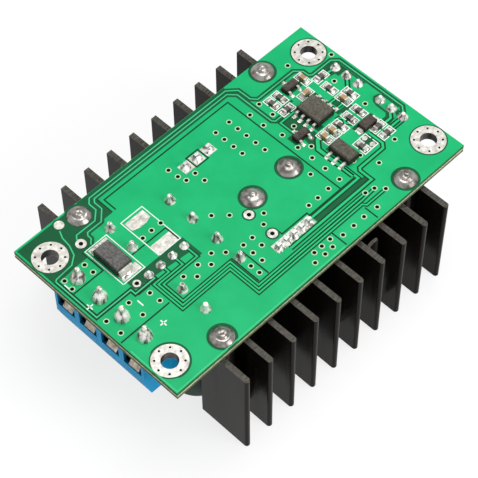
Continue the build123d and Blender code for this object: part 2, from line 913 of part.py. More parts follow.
with BuildPart() as reg_leads:
    with BuildSketch(Plane.XY):
        for y in row(3, reg_lead_pitch, reg_y):
            with Locations((reg_x - reg_width / 2 - reg_lead_reach / 2, y)):
                Rectangle(reg_lead_reach, reg_lead_width)
        with Locations((reg_x + reg_width / 2 + reg_tab_reach / 2, reg_y)):
            Rectangle(reg_tab_reach, reg_tab_width)
    extrude(amount=2 * lead_sheet)
reg_leads.part.label = "regulator_leads"
export_step(reg_leads.part, "parts/regulator_leads.step")

with BuildPart() as small:
    with BuildSketch(Plane.XY.offset(body_lift)):
        with Locations(*small_places):
            Rectangle(small_body_length, small_body_width)
    extrude(amount=small_body_height - body_lift)
    chamfer(small.edges().group_by(Axis.Z)[-1], small_case_edge)
small.part.label = "transistor_bodies"
export_step(small.part, "parts/transistor_bodies.step")

with BuildPart() as small_leads:
    for x, y in small_places:
        for dx, side in ((0, 1), (-small_lead_spacing / 2, -1), (small_lead_spacing / 2, -1)):
            root_y = y + side * small_body_width / 2
            lead = bent_lead(x + dx, root_y, side * 90, small_lead_reach, small_body_height / 2)
            extrude(lead, amount=small_lead_width / 2, both=True)
small_leads.part.label = "transistor_leads"
export_step(small_leads.part, "parts/transistor_leads.step")

with BuildPart() as surface_diode:
    with BuildSketch(Plane.XY.offset(body_lift)):
        with Locations((diode_x, diode_y)):
            Rectangle(diode_length, diode_width)
    extrude(amount=diode_height - body_lift)
    chamfer(surface_diode.edges().group_by(Axis.Z)[-1], small_case_edge)
surface_diode.part.label = "surface_diode_body"
export_step(surface_diode.part, "parts/surface_diode_body.step")

with BuildPart() as surface_diode_ends:
    with BuildSketch(Plane.XY):
        for side in (-1, 1):
            with Locations((diode_x + side * (diode_length + diode_end_reach) / 2, diode_y)):
                Rectangle(diode_end_reach, diode_end_width)
    extrude(amount=2 * lead_sheet)
surface_diode_ends.part.label = "surface_diode_ends"
export_step(surface_diode_ends.part, "parts/surface_diode_ends.step")


def chip_bodies(chips, height):
    """Ceramic bodies of the chip parts, between their end caps."""
    with BuildPart() as bodies:
        with BuildSketch(Plane.XY.offset(chip_cap_skin)):
            for shift_x, shift_y, along_y in chips:
                length = chip_length - 2 * chip_cap_length
                with Locations(from_amp(shift_x, shift_y)):
                    if along_y:
                        Rectangle(chip_width, length)
                    else:
                        Rectangle(length, chip_width)
        extrude(amount=height - 2 * chip_cap_skin)
    return bodies


def chip_caps(chips, height):
    """End caps of the chip parts, a skin's thickness proud of the bodies."""
    with BuildPart() as caps:
        with BuildSketch(Plane.XY):
            for shift_x, shift_y, along_y in chips:
                x, y = from_amp(shift_x, shift_y)
                middle = (chip_length - chip_cap_length) / 2
                for end in (-middle, middle):
                    with Locations((x, y + end) if along_y else (x + end, y)):
                        if along_y:
                            Rectangle(chip_width + 2 * chip_cap_skin, chip_cap_length)
                        else:
                            Rectangle(chip_cap_length, chip_width + 2 * chip_cap_skin)
        extrude(amount=height)
    return caps


for chips, height, name in (
    (chip_resistors, chip_height, "chip_resistor"),
    (chip_capacitors, capacitor_height, "chip_capacitor"),
):
    bodies = chip_bodies(chips, height)
    bodies.part.label = f"{name}_bodies"
    export_step(bodies.part, f"parts/{name}_bodies.step")
    caps = chip_caps(chips, height)
    caps.part.label = f"{name}_caps"
    export_step(caps.part, f"parts/{name}_caps.step")


def joint_taper(low_r, high_r, height, sides):
    """Slope in degrees of a joint's flats, from one radius in to the next."""
    return degrees(atan((low_r - high_r) * cos(pi / sides) / height))


def solder_joints(groups, sides):
    """Low domes or cones of solder round groups of leads, on the solder side of the board."""
    with BuildPart() as solder:
        for places, bore_r, joint in groups:
            pad_r, shoulder_r, shoulder_height, height = joint
            upper_height = height - shoulder_height
            tip_r = bore_r + solder_lip
            with BuildSketch(Plane.XY):
                with Locations(*places):
                    RegularPolygon(pad_r, sides)
            extrude(amount=shoulder_height, taper=joint_taper(pad_r, shoulder_r, shoulder_height, sides))
            with BuildSketch(Plane.XY.offset(shoulder_height)):
                with Locations(*places):
                    RegularPolygon(shoulder_r, sides)
            extrude(amount=upper_height, taper=joint_taper(shoulder_r, tip_r, upper_height, sides))
            with BuildSketch(Plane.XY):
                with Locations(*places):
                    RegularPolygon(bore_r, sides)
            extrude(amount=height, mode=Mode.SUBTRACT)
    return solder


wire_bore_r = wire_r / cos(pi / pin_side_count)
small_joints = [
    (can_leads, can_lead_r, can_joint),
    (trimmer_pins, trimmer_pin_r, trimmer_joint),
    (lamp_leads, lamp_lead_width / sqrt(2), lamp_joint),
]
for name, groups, sides in (
    ("heatsink", [(sink_pins, sink_pin_r, sink_joint)], pin_side_count),
    ("inductor", [(coil_leads, wire_bore_r, coil_joint)], pin_side_count),
    ("terminal", [(block_pins, block_pin_r, block_joint)], lead_side_count),
    ("small_joint", small_joints, lead_side_count),
):
    solder = solder_joints(groups, sides)
    solder.part.label = f"{name}_solder"
    export_step(solder.part, f"parts/{name}_solder.step")

with BuildPart() as device_solder:
    for places, pitch in ((diode_leads, diode_pitch), (switch_leads, switch_pitch)):
        with BuildSketch(Plane.XY):
            with Locations(*places):
                Rectangle(min(device_joint_width, pitch - device_joint_gap), device_joint_width)
        extrude(amount=device_joint_height, taper=device_joint_taper)
        with BuildSketch(Plane.XY):
            with Locations(*places):
                Rectangle(device_lead_width, device_lead_thickness)
        extrude(amount=device_joint_height, mode=Mode.SUBTRACT)
device_solder.part.label = "device_solder"
export_step(device_solder.part, "parts/device_solder.step")
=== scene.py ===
from math import asin, atan2, cos, degrees, hypot, pi, radians, sin

import bpy
import bmesh
from mathutils import Matrix, Quaternion, Vector, noise


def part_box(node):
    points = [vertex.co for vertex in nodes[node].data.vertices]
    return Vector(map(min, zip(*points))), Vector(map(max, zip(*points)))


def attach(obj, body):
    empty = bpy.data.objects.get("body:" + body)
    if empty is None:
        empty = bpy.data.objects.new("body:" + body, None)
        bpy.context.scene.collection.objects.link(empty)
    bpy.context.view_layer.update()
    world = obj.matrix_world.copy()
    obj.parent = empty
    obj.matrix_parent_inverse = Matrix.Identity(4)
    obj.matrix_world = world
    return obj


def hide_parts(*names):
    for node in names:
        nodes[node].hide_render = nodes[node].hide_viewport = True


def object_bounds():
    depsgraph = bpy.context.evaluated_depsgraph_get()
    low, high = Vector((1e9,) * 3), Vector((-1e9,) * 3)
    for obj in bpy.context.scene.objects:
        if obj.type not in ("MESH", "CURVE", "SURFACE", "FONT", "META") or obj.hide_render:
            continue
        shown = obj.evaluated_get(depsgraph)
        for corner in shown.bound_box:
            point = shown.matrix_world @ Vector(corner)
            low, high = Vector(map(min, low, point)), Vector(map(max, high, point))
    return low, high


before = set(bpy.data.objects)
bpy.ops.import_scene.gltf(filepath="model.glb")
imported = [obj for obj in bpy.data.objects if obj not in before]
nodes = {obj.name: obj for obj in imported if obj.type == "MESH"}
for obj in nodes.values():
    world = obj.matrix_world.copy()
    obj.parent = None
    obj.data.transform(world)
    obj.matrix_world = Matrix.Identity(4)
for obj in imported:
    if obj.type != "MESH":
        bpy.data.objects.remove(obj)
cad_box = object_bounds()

# Lengths are written in millimetres, and MM turns them into metres
MM = 0.001
BOARD_THICKNESS = 1.6
WAY_PITCH, FIRST_WAY_Y = 5.0, -7.7
scene = bpy.context.scene


# Colours and materials
def rgb(r, g, b):
    """A colour written as 0 to 255 sRGB, as the linear value that a node wants."""
    def linear(v):
        v = v / 255
        return v / 12.92 if v <= 0.04045 else ((v + 0.055) / 1.055) ** 2.4
    return (linear(r), linear(g), linear(b), 1.0)


class Tree:
    """A material's node tree, with short calls for the nodes that this scene uses."""

    def __init__(self, name):
        self.mat = bpy.data.materials.new(name)
        self.mat.use_nodes = True
        self.nodes = self.mat.node_tree.nodes
        self.links = self.mat.node_tree.links
        self.nodes.clear()
        self.out = self.nodes.new("ShaderNodeOutputMaterial")
        self.coords = self.nodes.new("ShaderNodeTexCoord")

    def put(self, socket, value):
        if isinstance(value, bpy.types.NodeSocket):
            self.links.new(value, socket)
        else:
            socket.default_value = value

    def place(self, stretch):
        """Object coordinates, stretched along the axes."""
        mapping = self.nodes.new("ShaderNodeMapping")
        self.links.new(self.coords.outputs["Object"], mapping.inputs["Vector"])
        mapping.inputs["Scale"].default_value = stretch
        return mapping.outputs["Vector"]

    def axes(self, vector):
        """X, Y and Z of a vector, each as an output of its own."""
        split = self.nodes.new("ShaderNodeSeparateXYZ")
        self.links.new(vector, split.inputs["Vector"])
        return split.outputs

    def object_parts(self):
        return self.axes(self.coords.outputs["Object"])

    def normal_part(self, axis):
        return self.axes(self.nodes.new("ShaderNodeNewGeometry").outputs["Normal"])[axis]

    def noise(self, scale, detail=3.0, stretch=(1, 1, 1), distort=0.0):
        made = self.nodes.new("ShaderNodeTexNoise")
        self.links.new(self.place(stretch), made.inputs["Vector"])
        made.inputs["Scale"].default_value = scale
        made.inputs["Detail"].default_value = detail
        made.inputs["Roughness"].default_value = 0.55
        made.inputs["Distortion"].default_value = distort
        return made.outputs["Fac"]

    def ramp(self, value, *stops):
        made = self.nodes.new("ShaderNodeValToRGB")
        self.links.new(value, made.inputs["Fac"])
        band = made.color_ramp
        while len(band.elements) < len(stops):
            band.elements.new(0.5)
        for element, (at, colour) in zip(band.elements, stops):
            element.position = at
            element.color = colour
        return made.outputs["Color"]

    def span(self, value, low, high, start=0.0, end=1.0):
        made = self.nodes.new("ShaderNodeMapRange")
        self.links.new(value, made.inputs["Value"])
        made.inputs["From Min"].default_value = start
        made.inputs["From Max"].default_value = end
        made.inputs["To Min"].default_value = low
        made.inputs["To Max"].default_value = high
        return made.outputs["Result"]

    def math(self, kind, a, b=0.0):
        made = self.nodes.new("ShaderNodeMath")
        made.operation = kind
        self.put(made.inputs[0], a)
        self.put(made.inputs[1], b)
        return made.outputs[0]

    def mix(self, factor, a, b):
        made = self.nodes.new("ShaderNodeMix")
        made.data_type = "RGBA"
        self.put(made.inputs["Factor"], factor)
        for socket, value in ((6, a), (7, b)):
            self.put(made.inputs[socket], value)
        return made.outputs[2]

    def bump(self, height, distance):
        made = self.nodes.new("ShaderNodeBump")
        made.inputs["Distance"].default_value = distance
        self.links.new(height, made.inputs["Height"])
        return made.outputs["Normal"]

    def finish(self, colour, rough, normal, **constants):
        shader = self.nodes.new("ShaderNodeBsdfPrincipled")
        self.put(shader.inputs["Base Color"], colour)
        self.put(shader.inputs["Roughness"], rough)
        self.links.new(normal, shader.inputs["Normal"])
        for key, value in constants.items():
            shader.inputs[key.replace("_", " ")].default_value = value
        self.links.new(shader.outputs["BSDF"], self.out.inputs["Surface"])
        return self.mat


def plain(name, colour, dark, rough, scale, grain, depth, **constants):
    """A material whose colour wanders between two tones, with its own roughness and fine relief."""
    t = Tree(name)
    tone = t.ramp(t.noise(scale, 4), (0.3, rgb(*dark)), (0.7, rgb(*colour)))
    gloss = t.span(t.noise(scale * 1.7, 3), rough[0], rough[1], 0.3, 0.7)
    relief = t.bump(t.noise(grain, 3), depth * MM)
    return t.finish(tone, gloss, relief, **constants)


def board_material():
    """Green mask on the two faces. The edges were scored from both sides and snapped, so they
    are smooth and green above, olive below, and have rough pale fibres between. The olive band is darkened as
    painted shade."""
    scored_to, fibres_to, blur, waver = 0.57, 0.99, 0.05, 0.16
    t = Tree("board_green")
    face = t.math("GREATER_THAN", t.math("ABSOLUTE", t.normal_part("Z")), 0.5)
    mask = t.ramp(t.noise(160, 3), (0.3, rgb(12, 164, 100)), (0.7, rgb(24, 177, 111)))
    fibres = t.ramp(t.noise(2600, 2, (1, 1, 3)), (0.35, rgb(126, 136, 102)), (0.6, rgb(198, 206, 176)))
    scored = t.ramp(t.noise(1500, 3), (0.3, rgb(28, 80, 38)), (0.7, rgb(56, 104, 56)))
    # under: olive laminate colour, made darker as painted shade on the lower bevel
    under = t.ramp(t.noise(1500, 3), (0.3, rgb(68, 76, 50)), (0.7, rgb(104, 106, 76)))
    depth = t.math("ADD", t.object_parts()["Z"], t.math("MULTIPLY", t.noise(900, 2), waver * MM))
    above = t.span(depth, 0.0, 1.0, -(scored_to + blur) * MM, -(scored_to - blur) * MM)
    below = t.span(depth, 1.0, 0.0, -(fibres_to + blur) * MM, -(fibres_to - blur) * MM)
    edge = t.mix(below, t.mix(above, fibres, scored), under)
    relief = t.bump(t.noise(500, 3), 0.01 * MM)
    return t.finish(t.mix(face, edge, mask), t.span(face, 0.75, 0.36), relief, Specular_IOR_Level=0.12)


def heatsink_material():
    """Black anodised extrusion: drawing lines along its length and bare grey sawn ends."""
    t = Tree("black_anodised")
    level = t.math("ABSOLUTE", t.normal_part("Z"))
    end = t.math("GREATER_THAN", level, 0.6)
    tone = t.noise(300, 3, (1, 1, 0.15))
    skin = t.ramp(tone, (0.3, rgb(18, 15, 13)), (0.7, rgb(25, 21, 18)))
    sawn = t.ramp(t.noise(1400, 4, (1, 5, 1)), (0.35, rgb(50, 48, 44)), (0.65, rgb(98, 95, 89)))
    colour = t.mix(end, skin, sawn)
    gloss = t.span(t.noise(500, 3, (1, 1, 0.1)), 0.16, 0.28, 0.3, 0.7)
    lines = t.bump(t.noise(2200, 3, (1, 1, 0.03)), 0.005 * MM)
    return t.finish(colour, gloss, lines, Specular_IOR_Level=0.06, Specular_Tint=(1.0, 0.88, 0.8, 1.0))


def solder_material(name, dark_reflection, bright, metallic, size=700, stretch=(1, 1, 1), edge=(0.36, 0.6)):
    """Reflowed solder: bright metal with dark spots and streaks that are painted reflections, and small
    dents.
    """
    t = Tree(name)
    # Noise between the dark and the bright tone: painted reflections on the metal.
    painted_reflection_tone = t.noise(size, 3, stretch, distort=0.4)
    colour = t.ramp(painted_reflection_tone, (edge[0], dark_reflection), (edge[1], bright))
    gloss = t.span(t.noise(900, 3), 0.18, 0.34, 0.35, 0.65)
    relief = t.bump(t.noise(900, 3, distort=0.4), 0.05 * MM)
    return t.finish(colour, gloss, relief, Metallic=metallic)


def sleeve_material(name, light, dark):
    """Printed shrink sleeve: satin film with faint wrinkles along the can."""
    t = Tree(name)
    colour = t.ramp(t.noise(400, 3), (0.3, dark), (0.7, light))
    gloss = t.span(t.noise(700, 2), 0.28, 0.42, 0.3, 0.7)
    relief = t.bump(t.noise(900, 3, (1, 1, 0.25)), 0.04 * MM)
    return t.finish(colour, gloss, relief, Specular_IOR_Level=0.16)


def case_material(name, light, dark, side, rough=(0.55, 0.72)):
    """Moulded case of a surface part: a mottled top, and darker sides that are painted shade."""
    t = Tree(name)
    # Steep faces take the side colour, which is painted shade.
    top = t.span(t.math("ABSOLUTE", t.normal_part("Z")), 0.0, 1.0, 0.5, 0.85)
    tone = t.ramp(t.noise(2400, 4), (0.34, dark), (0.64, light))
    gloss = t.span(t.noise(3000, 3), rough[0], rough[1], 0.3, 0.7)
    relief = t.bump(t.noise(9000, 3), 0.03 * MM)
    return t.finish(t.mix(top, side, tone), gloss, relief, Specular_IOR_Level=0.22)


def terminal_material():
    """Blue moulded housing, with painted shade inside its deep wire entries."""
    mouth_x, deep_x, back_x, roof_z, sill_z, half_width = -31.95, -31.3, -24.4, -1.7, -9.4, 2.15
    t = Tree("terminal_blue")
    skin = t.ramp(t.noise(500, 4), (0.3, rgb(6, 142, 194)), (0.7, rgb(12, 154, 208)))
    spot = t.object_parts()
    off_way = t.math("PINGPONG", t.math("SUBTRACT", spot["Y"], FIRST_WAY_Y * MM), WAY_PITCH / 2 * MM)
    painted_entry_shade = t.math("LESS_THAN", off_way, half_width * MM)
    for axis, kind, limit in (("X", "GREATER_THAN", mouth_x), ("X", "LESS_THAN", back_x),
                              ("Z", "LESS_THAN", roof_z), ("Z", "GREATER_THAN", sill_z)):
        painted_entry_shade = t.math("MULTIPLY", painted_entry_shade, t.math(kind, spot[axis], limit * MM))
    # The painted shade is a third strong at the mouth and full from deep_x inwards.
    depth = t.span(spot["X"], 1.0, 0.35, deep_x * MM, mouth_x * MM)
    colour = t.mix(t.math("MULTIPLY", painted_entry_shade, depth), skin, rgb(3, 9, 16))
    gloss = t.span(t.noise(850, 3), 0.36, 0.5, 0.3, 0.7)
    return t.finish(colour, gloss, t.bump(t.noise(5000, 3), 0.015 * MM), Specular_IOR_Level=0.08)


M = {
    "board": board_material(),
    "heatsink": heatsink_material(),
    "terminal": terminal_material(),
    # Both solders wander between a dark and a bright tone as painted reflections; the second one's near-white
    # tone and upright streaks are painted highlights and reflections.
    "solder": solder_material("solder", rgb(92, 86, 82), rgb(154, 150, 145), 0.9),
    "bright_solder": solder_material("solder_bright", rgb(104, 90, 86), rgb(244, 240, 236), 0.4, size=1300,
                                     stretch=(1, 1, 0.22), edge=(0.38, 0.55)),
    "sleeve": sleeve_material("capacitor_green", rgb(16, 56, 42), rgb(10, 42, 31)),
    "stripe": sleeve_material("capacitor_stripe", rgb(196, 200, 180), rgb(176, 182, 160)),
    # The last colour of each case is the painted shade of its sides.
    "matte": case_material("small_case", rgb(94, 91, 81), rgb(64, 61, 53), rgb(34, 31, 26)),
    "brown": case_material("small_brown_case", rgb(84, 73, 68), rgb(52, 44, 41), rgb(34, 28, 25)),
    "shunt": case_material("shunt_case", rgb(104, 103, 100), rgb(66, 65, 64), rgb(30, 33, 30), (0.4, 0.55)),
}

# Solder mask over what isn't a copper area: two tones, roughness, specular level
for key, name, colour, dark, rough, level in (
    ("gap", "mask_over_laminate_and_painted_shadow", (11, 90, 53), (8, 78, 45), (0.36, 0.44), 0.12),
    ("line", "mask_over_narrow_gap", (4, 60, 34), (3, 48, 27), (0.36, 0.44), 0.1),
    ("trace", "mask_over_copper", (34, 190, 118), (24, 180, 108), (0.34, 0.4), 0.12),
    ("fine", "mask_over_thin_trace", (72, 196, 138), (58, 187, 127), (0.34, 0.4), 0.12),
):
    M[key] = plain(name, colour, dark, rough, 200, 900, 0.006, Specular_IOR_Level=level)

# Metals: two tones, roughness, scales of tone and relief, depth of relief, metallic
for key, name, colour, dark, rough, scale, grain, depth, metallic in (
    ("tinned", "tinned_pad", (212, 210, 202), (152, 148, 142), (0.34, 0.55), 1100, 2500, 0.04, 0.5),
    # bore: the plating inside the mounting holes, coloured dark as painted shade
    ("bore", "plated_bore_painted_shade", (84, 82, 76), (48, 46, 42), (0.35, 0.5), 900, 2500, 0.03, 0.4),
    ("pin", "tinned_pin", (200, 200, 200), (160, 162, 164), (0.25, 0.4), 1200, 3000, 0.03, 0.9),
    ("tab", "tab_metal", (190, 191, 192), (150, 152, 154), (0.3, 0.45), 800, 3000, 0.02, 0.9),
    ("steel", "screw_steel", (176, 178, 180), (132, 134, 137), (0.25, 0.42), 1200, 3500, 0.03, 0.95),
    ("aluminium", "bare_aluminium", (206, 207, 208), (178, 180, 182), (0.3, 0.42), 900, 3000, 0.02, 0.9),
    ("copper", "enamelled_copper", (196, 98, 48), (168, 78, 36), (0.2, 0.34), 600, 2000, 0.01, 0.85),
    ("clamp", "clamp_metal", (236, 228, 212), (140, 122, 104), (0.28, 0.42), 1200, 3000, 0.03, 0.4),
    ("brass", "adjuster_brass", (206, 172, 92), (176, 142, 70), (0.25, 0.4), 900, 3000, 0.02, 0.9),
):
    M[key] = plain(name, colour, dark, rough, scale, grain, depth, Metallic=metallic)

# Plastic, print and paint: two tones, roughness, scales of tone and relief, depth of relief, others
for key, name, colour, dark, rough, scale, grain, depth, others in (
    ("silk", "printed_white", (240, 246, 240), (222, 232, 224), (0.6, 0.75), 1500, 6000, 0.01, {}),
    ("via", "via_rim", (196, 222, 184), (166, 200, 154), (0.35, 0.5), 1500, 4000, 0.01, {}),
    # hole: near black, painted shade inside holes
    ("hole", "painted_hole_shade", (9, 11, 8), (4, 5, 4), (0.6, 0.8), 1500, 4000, 0.01,
     {"Specular_IOR_Level": 0.05}),
    ("moulded", "moulded_black", (42, 40, 37), (31, 29, 27), (0.4, 0.56), 900, 9000, 0.02,
     {"Specular_IOR_Level": 0.3}),
    ("core", "core_yellow", (222, 196, 60), (204, 176, 44), (0.45, 0.62), 500, 2500, 0.05, {}),
    ("trimmer", "trimmer_blue", (28, 92, 176), (20, 78, 158), (0.3, 0.42), 500, 5000, 0.01, {}),
    ("red", "lamp_red", (214, 34, 28), (186, 22, 18), (0.12, 0.2), 500, 2000, 0.004,
     {"Transmission_Weight": 0.35}),
    ("green", "lamp_green", (48, 186, 72), (36, 160, 58), (0.12, 0.2), 500, 2000, 0.004,
     {"Transmission_Weight": 0.35}),
    ("glaze", "resistor_black", (92, 80, 78), (58, 50, 50), (0.35, 0.5), 2600, 6000, 0.01, {}),
    ("tan", "capacitor_tan", (176, 140, 100), (154, 118, 80), (0.4, 0.55), 900, 6000, 0.01, {}),
):
    M[key] = plain(name, colour, dark, rough, scale, grain, depth, **others)


def paint(node, material):
    for material_slot in nodes[node].material_slots:
        material_slot.material = M[material]


for material, painted in (
    ("board", "circuit_board"),
    ("heatsink", "heatsink_front heatsink_rear"),
    ("tab", "diode_tab switch_tab"),
    ("moulded", "diode_case switch_case"),
    ("pin", "diode_leads switch_leads capacitor_leads lamp_leads trimmer_pins heatsink_pins"),
    ("steel", "device_screws device_washers"),
    ("terminal", "terminal_housing"),
    ("trimmer", "trimmer_1 trimmer_2"),
    ("brass", "trimmer_screw_1 trimmer_screw_2"),
    ("shunt", "shunt_body"),
    ("tinned", "shunt_ends amplifier_leads regulator_leads transistor_leads surface_diode_ends "
               "chip_resistor_caps chip_capacitor_caps"),
    ("matte", "amplifier_body regulator_body"),
    ("brown", "transistor_bodies surface_diode_body"),
    ("glaze", "chip_resistor_bodies"),
    ("tan", "chip_capacitor_bodies"),
):
    for node in painted.split():
        paint(node, material)
for number in range(1, 5):
    paint(f"contact_frame_{number}", "clamp")
    paint(f"clamp_leaf_{number}", "clamp")
    paint(f"clamp_screw_{number}", "steel")


# Mesh helpers
def islands(node):
    """The lowest and highest corner of each loose part of a CAD node, in millimetres."""
    mesh = nodes[node].data
    places, spot = {}, []
    for vertex in mesh.vertices:
        key = tuple(round(c / MM, 3) for c in vertex.co)
        spot.append(places.setdefault(key, len(places)))
    parent = list(range(len(places)))

    def root(i):
        while parent[i] != i:
            parent[i] = parent[parent[i]]
            i = parent[i]
        return i

    for polygon in mesh.polygons:
        first = root(spot[polygon.vertices[0]])
        for corner in polygon.vertices[1:]:
            parent[root(spot[corner])] = first
    boxes = {}
    for key, i in places.items():
        lo, hi = boxes.setdefault(root(i), (list(key), list(key)))
        for axis in range(3):
            lo[axis] = min(lo[axis], key[axis])
            hi[axis] = max(hi[axis], key[axis])
    return sorted((Vector(lo), Vector(hi)) for lo, hi in boxes.values())


def box_mm(node):
    lo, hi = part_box(node)
    return lo / MM, hi / MM


def smoothstep(t):
    t = min(max(t, 0.0), 1.0)
    return t * t * (3 - 2 * t)


def walls(a, b, count):
    """The faces between two closed rows of as many points, of which the first are a and b."""
    return [(a + i, a + (i + 1) % count, b + (i + 1) % count, b + i) for i in range(count)]


class Shape:
    """Vertices in millimetres and faces with material numbers, made into one piece at the end."""

    def __init__(self):
        self.verts, self.faces, self.slots = [], [], []

    def add(self, verts, faces, slot=0):
        start = len(self.verts)
        self.verts += [Vector(v) for v in verts]
        self.faces += [tuple(start + i for i in face) for face in faces]
        self.slots += [slot] * len(faces)

    def prism(self, outline, low, high, slot=0):
        n = len(outline)
        verts = [(x, y, low) for x, y in outline] + [(x, y, high) for x, y in outline]
        faces = [tuple(reversed(range(n))), tuple(range(n, 2 * n))]
        self.add(verts, faces + walls(0, n, n), slot)

    def strip(self, points, width, low, high, slot=0):
        """A flat strip along a line of points, with mitred corners."""
        points = [Vector(p) for p in points]
        left, right = [], []
        for i, p in enumerate(points):
            before = (p - points[i - 1]).normalized() if i else (points[1] - p).normalized()
            after = (points[i + 1] - p).normalized() if i < len(points) - 1 else before
            middle = (before + after).normalized()
            across = Vector((-middle.y, middle.x))
            reach = width / 2 / max(abs(middle.dot(before)), 0.4)
            left.append(p + across * reach)
            right.append(p - across * reach)
        n = len(points)
        flat = [*right, *reversed(left)]
        verts = [(v.x, v.y, low) for v in flat] + [(v.x, v.y, high) for v in flat]
        m = 2 * n
        faces = []
        for i in range(n - 1):
            quad = (i, i + 1, m - 2 - i, m - 1 - i)
            faces.append(tuple(reversed(quad)))
            faces.append(tuple(m + k for k in quad))
        self.add(verts, faces + walls(0, m, m), slot)

    def ring(self, x, y, inner, outer, low, high, count, slot=0):
        turns = [(cos(2 * pi * i / count), sin(2 * pi * i / count)) for i in range(count)]
        verts, faces = [], []
        for r, z in ((inner, low), (outer, low), (outer, high), (inner, high)):
            verts += [(x + r * across, y + r * along, z) for across, along in turns]
        for k in range(4):
            faces += walls(k * count, (k + 1) % 4 * count, count)
        self.add(verts, faces, slot)

    def disc(self, x, y, radius, low, high, count, slot=0):
        self.oval(x, y, radius, radius, low, high, count, slot)

    def oval(self, x, y, half_x, half_y, low, high, count=24, slot=0):
        angles = [2 * pi * i / count for i in range(count)]
        self.prism([(x + half_x * cos(a), y + half_y * sin(a)) for a in angles], low, high, slot)

    def lathe(self, profile, count, matrix, shift=None, slots=None):
        """A profile of (radius, height) turned about Z. shift(angle, r, z) may move a point."""
        verts, rows = [], []
        for r, z in profile:
            if r < 1e-6:
                rows.append([len(verts)] * count)
                verts.append(matrix @ Vector((0, 0, z)))
                continue
            line = []
            for i in range(count):
                angle = 2 * pi * i / count
                rr, zz = shift(angle, r, z) if shift else (r, z)
                line.append(len(verts))
                verts.append(matrix @ Vector((rr * cos(angle), rr * sin(angle), zz)))
            rows.append(line)
        start = len(self.verts)
        self.verts += verts
        for k in range(len(rows) - 1):
            a, b = rows[k], rows[k + 1]
            for i in range(count):
                j = (i + 1) % count
                face = []
                for v in (a[i], a[j], b[j], b[i]):
                    if start + v not in face:
                        face.append(start + v)
                if len(face) > 2:
                    self.faces.append(tuple(face))
                    self.slots.append(slots(k, 2 * pi * (i + 0.5) / count) if slots else 0)

    def tube(self, points, radius, count):
        """A round wire along a line of points, closed at both ends."""
        points = [Vector(p) for p in points]
        tangents = []
        for i in range(len(points)):
            a, b = points[max(i - 1, 0)], points[min(i + 1, len(points) - 1)]
            tangents.append((b - a).normalized())
        side = tangents[0].orthogonal().normalized()
        verts, faces = [], []
        for p, t in zip(points, tangents):
            side = (side - t * side.dot(t)).normalized()
            other = t.cross(side)
            for k in range(count):
                a = 2 * pi * k / count
                verts.append(p + (side * cos(a) + other * sin(a)) * radius)
        for i in range(len(points) - 1):
            faces += walls(i * count, (i + 1) * count, count)
        last = (len(points) - 1) * count
        faces.append(tuple(reversed(range(count))))
        faces.append(tuple(range(last, last + count)))
        self.add(verts, faces)

    def piece(self, name, materials, slot, smooth=35, replaces=()):
        """Make the piece. It rides on the module, because all that moves is carried over from CAD."""
        mesh = bpy.data.meshes.new(name)
        mesh.from_pydata([tuple(v * MM) for v in self.verts], [], self.faces)
        for material in materials:
            mesh.materials.append(M[material])
        mesh.polygons.foreach_set("material_index", self.slots)
        edit = bmesh.new()
        edit.from_mesh(mesh)
        bmesh.ops.recalc_face_normals(edit, faces=edit.faces)
        edit.to_mesh(mesh)
        edit.free()
        mesh.shade_smooth()
        mesh.set_sharp_from_angle(angle=radians(smooth))
        made = bpy.data.objects.new(name, mesh)
        scene.collection.objects.link(made)
        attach(made, "module")
        if replaces:
            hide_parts(*replaces)


def rectangle(x0, y0, x1, y1):
    return [(x0, y0), (x1, y0), (x1, y1), (x0, y1)]


def rounded(points, radius, steps):
    """A line of points with each inner corner turned into a short curve."""
    points = [Vector(p) for p in points]
    out = [points[0]]
    for before, p, after in zip(points, points[1:], points[2:]):
        r = min(radius, (p - before).length * 0.48, (after - p).length * 0.48)
        a = p + (before - p).normalized() * r
        b = p + (after - p).normalized() * r
        for k in range(steps + 1):
            t = k / steps
            out.append(a * (1 - t) ** 2 + p * 2 * t * (1 - t) + b * t * t)
    out.append(points[-1])
    return out


# Copper pattern under the mask. A flat layer starts a little inside the board, at FOOT, and
# each kind has its own top, so that a layer always covers the ones under it.
FOOT = -0.02
TRACE, SILK, RIM, PAD = (FOOT, 0.016), (FOOT, 0.024), (FOOT, 0.028), (FOOT, 0.035)
AREA_TOP, PATCH_TOP, GAP_TOP, BRACKET_TOP = 0.0085, 0.0088, 0.010, 0.0185

# Slots of the dark and of the light piece
WIDE, NARROW = 0, 1
COPPER, FINE = 0, 1
dark = Shape()
light = Shape()


def gap_heights(base=GAP_TOP):
    """Each dark shape ends a little higher than the one before, so that no two tops share a plane."""
    return FOOT, base + len(dark.slots) * 1e-6


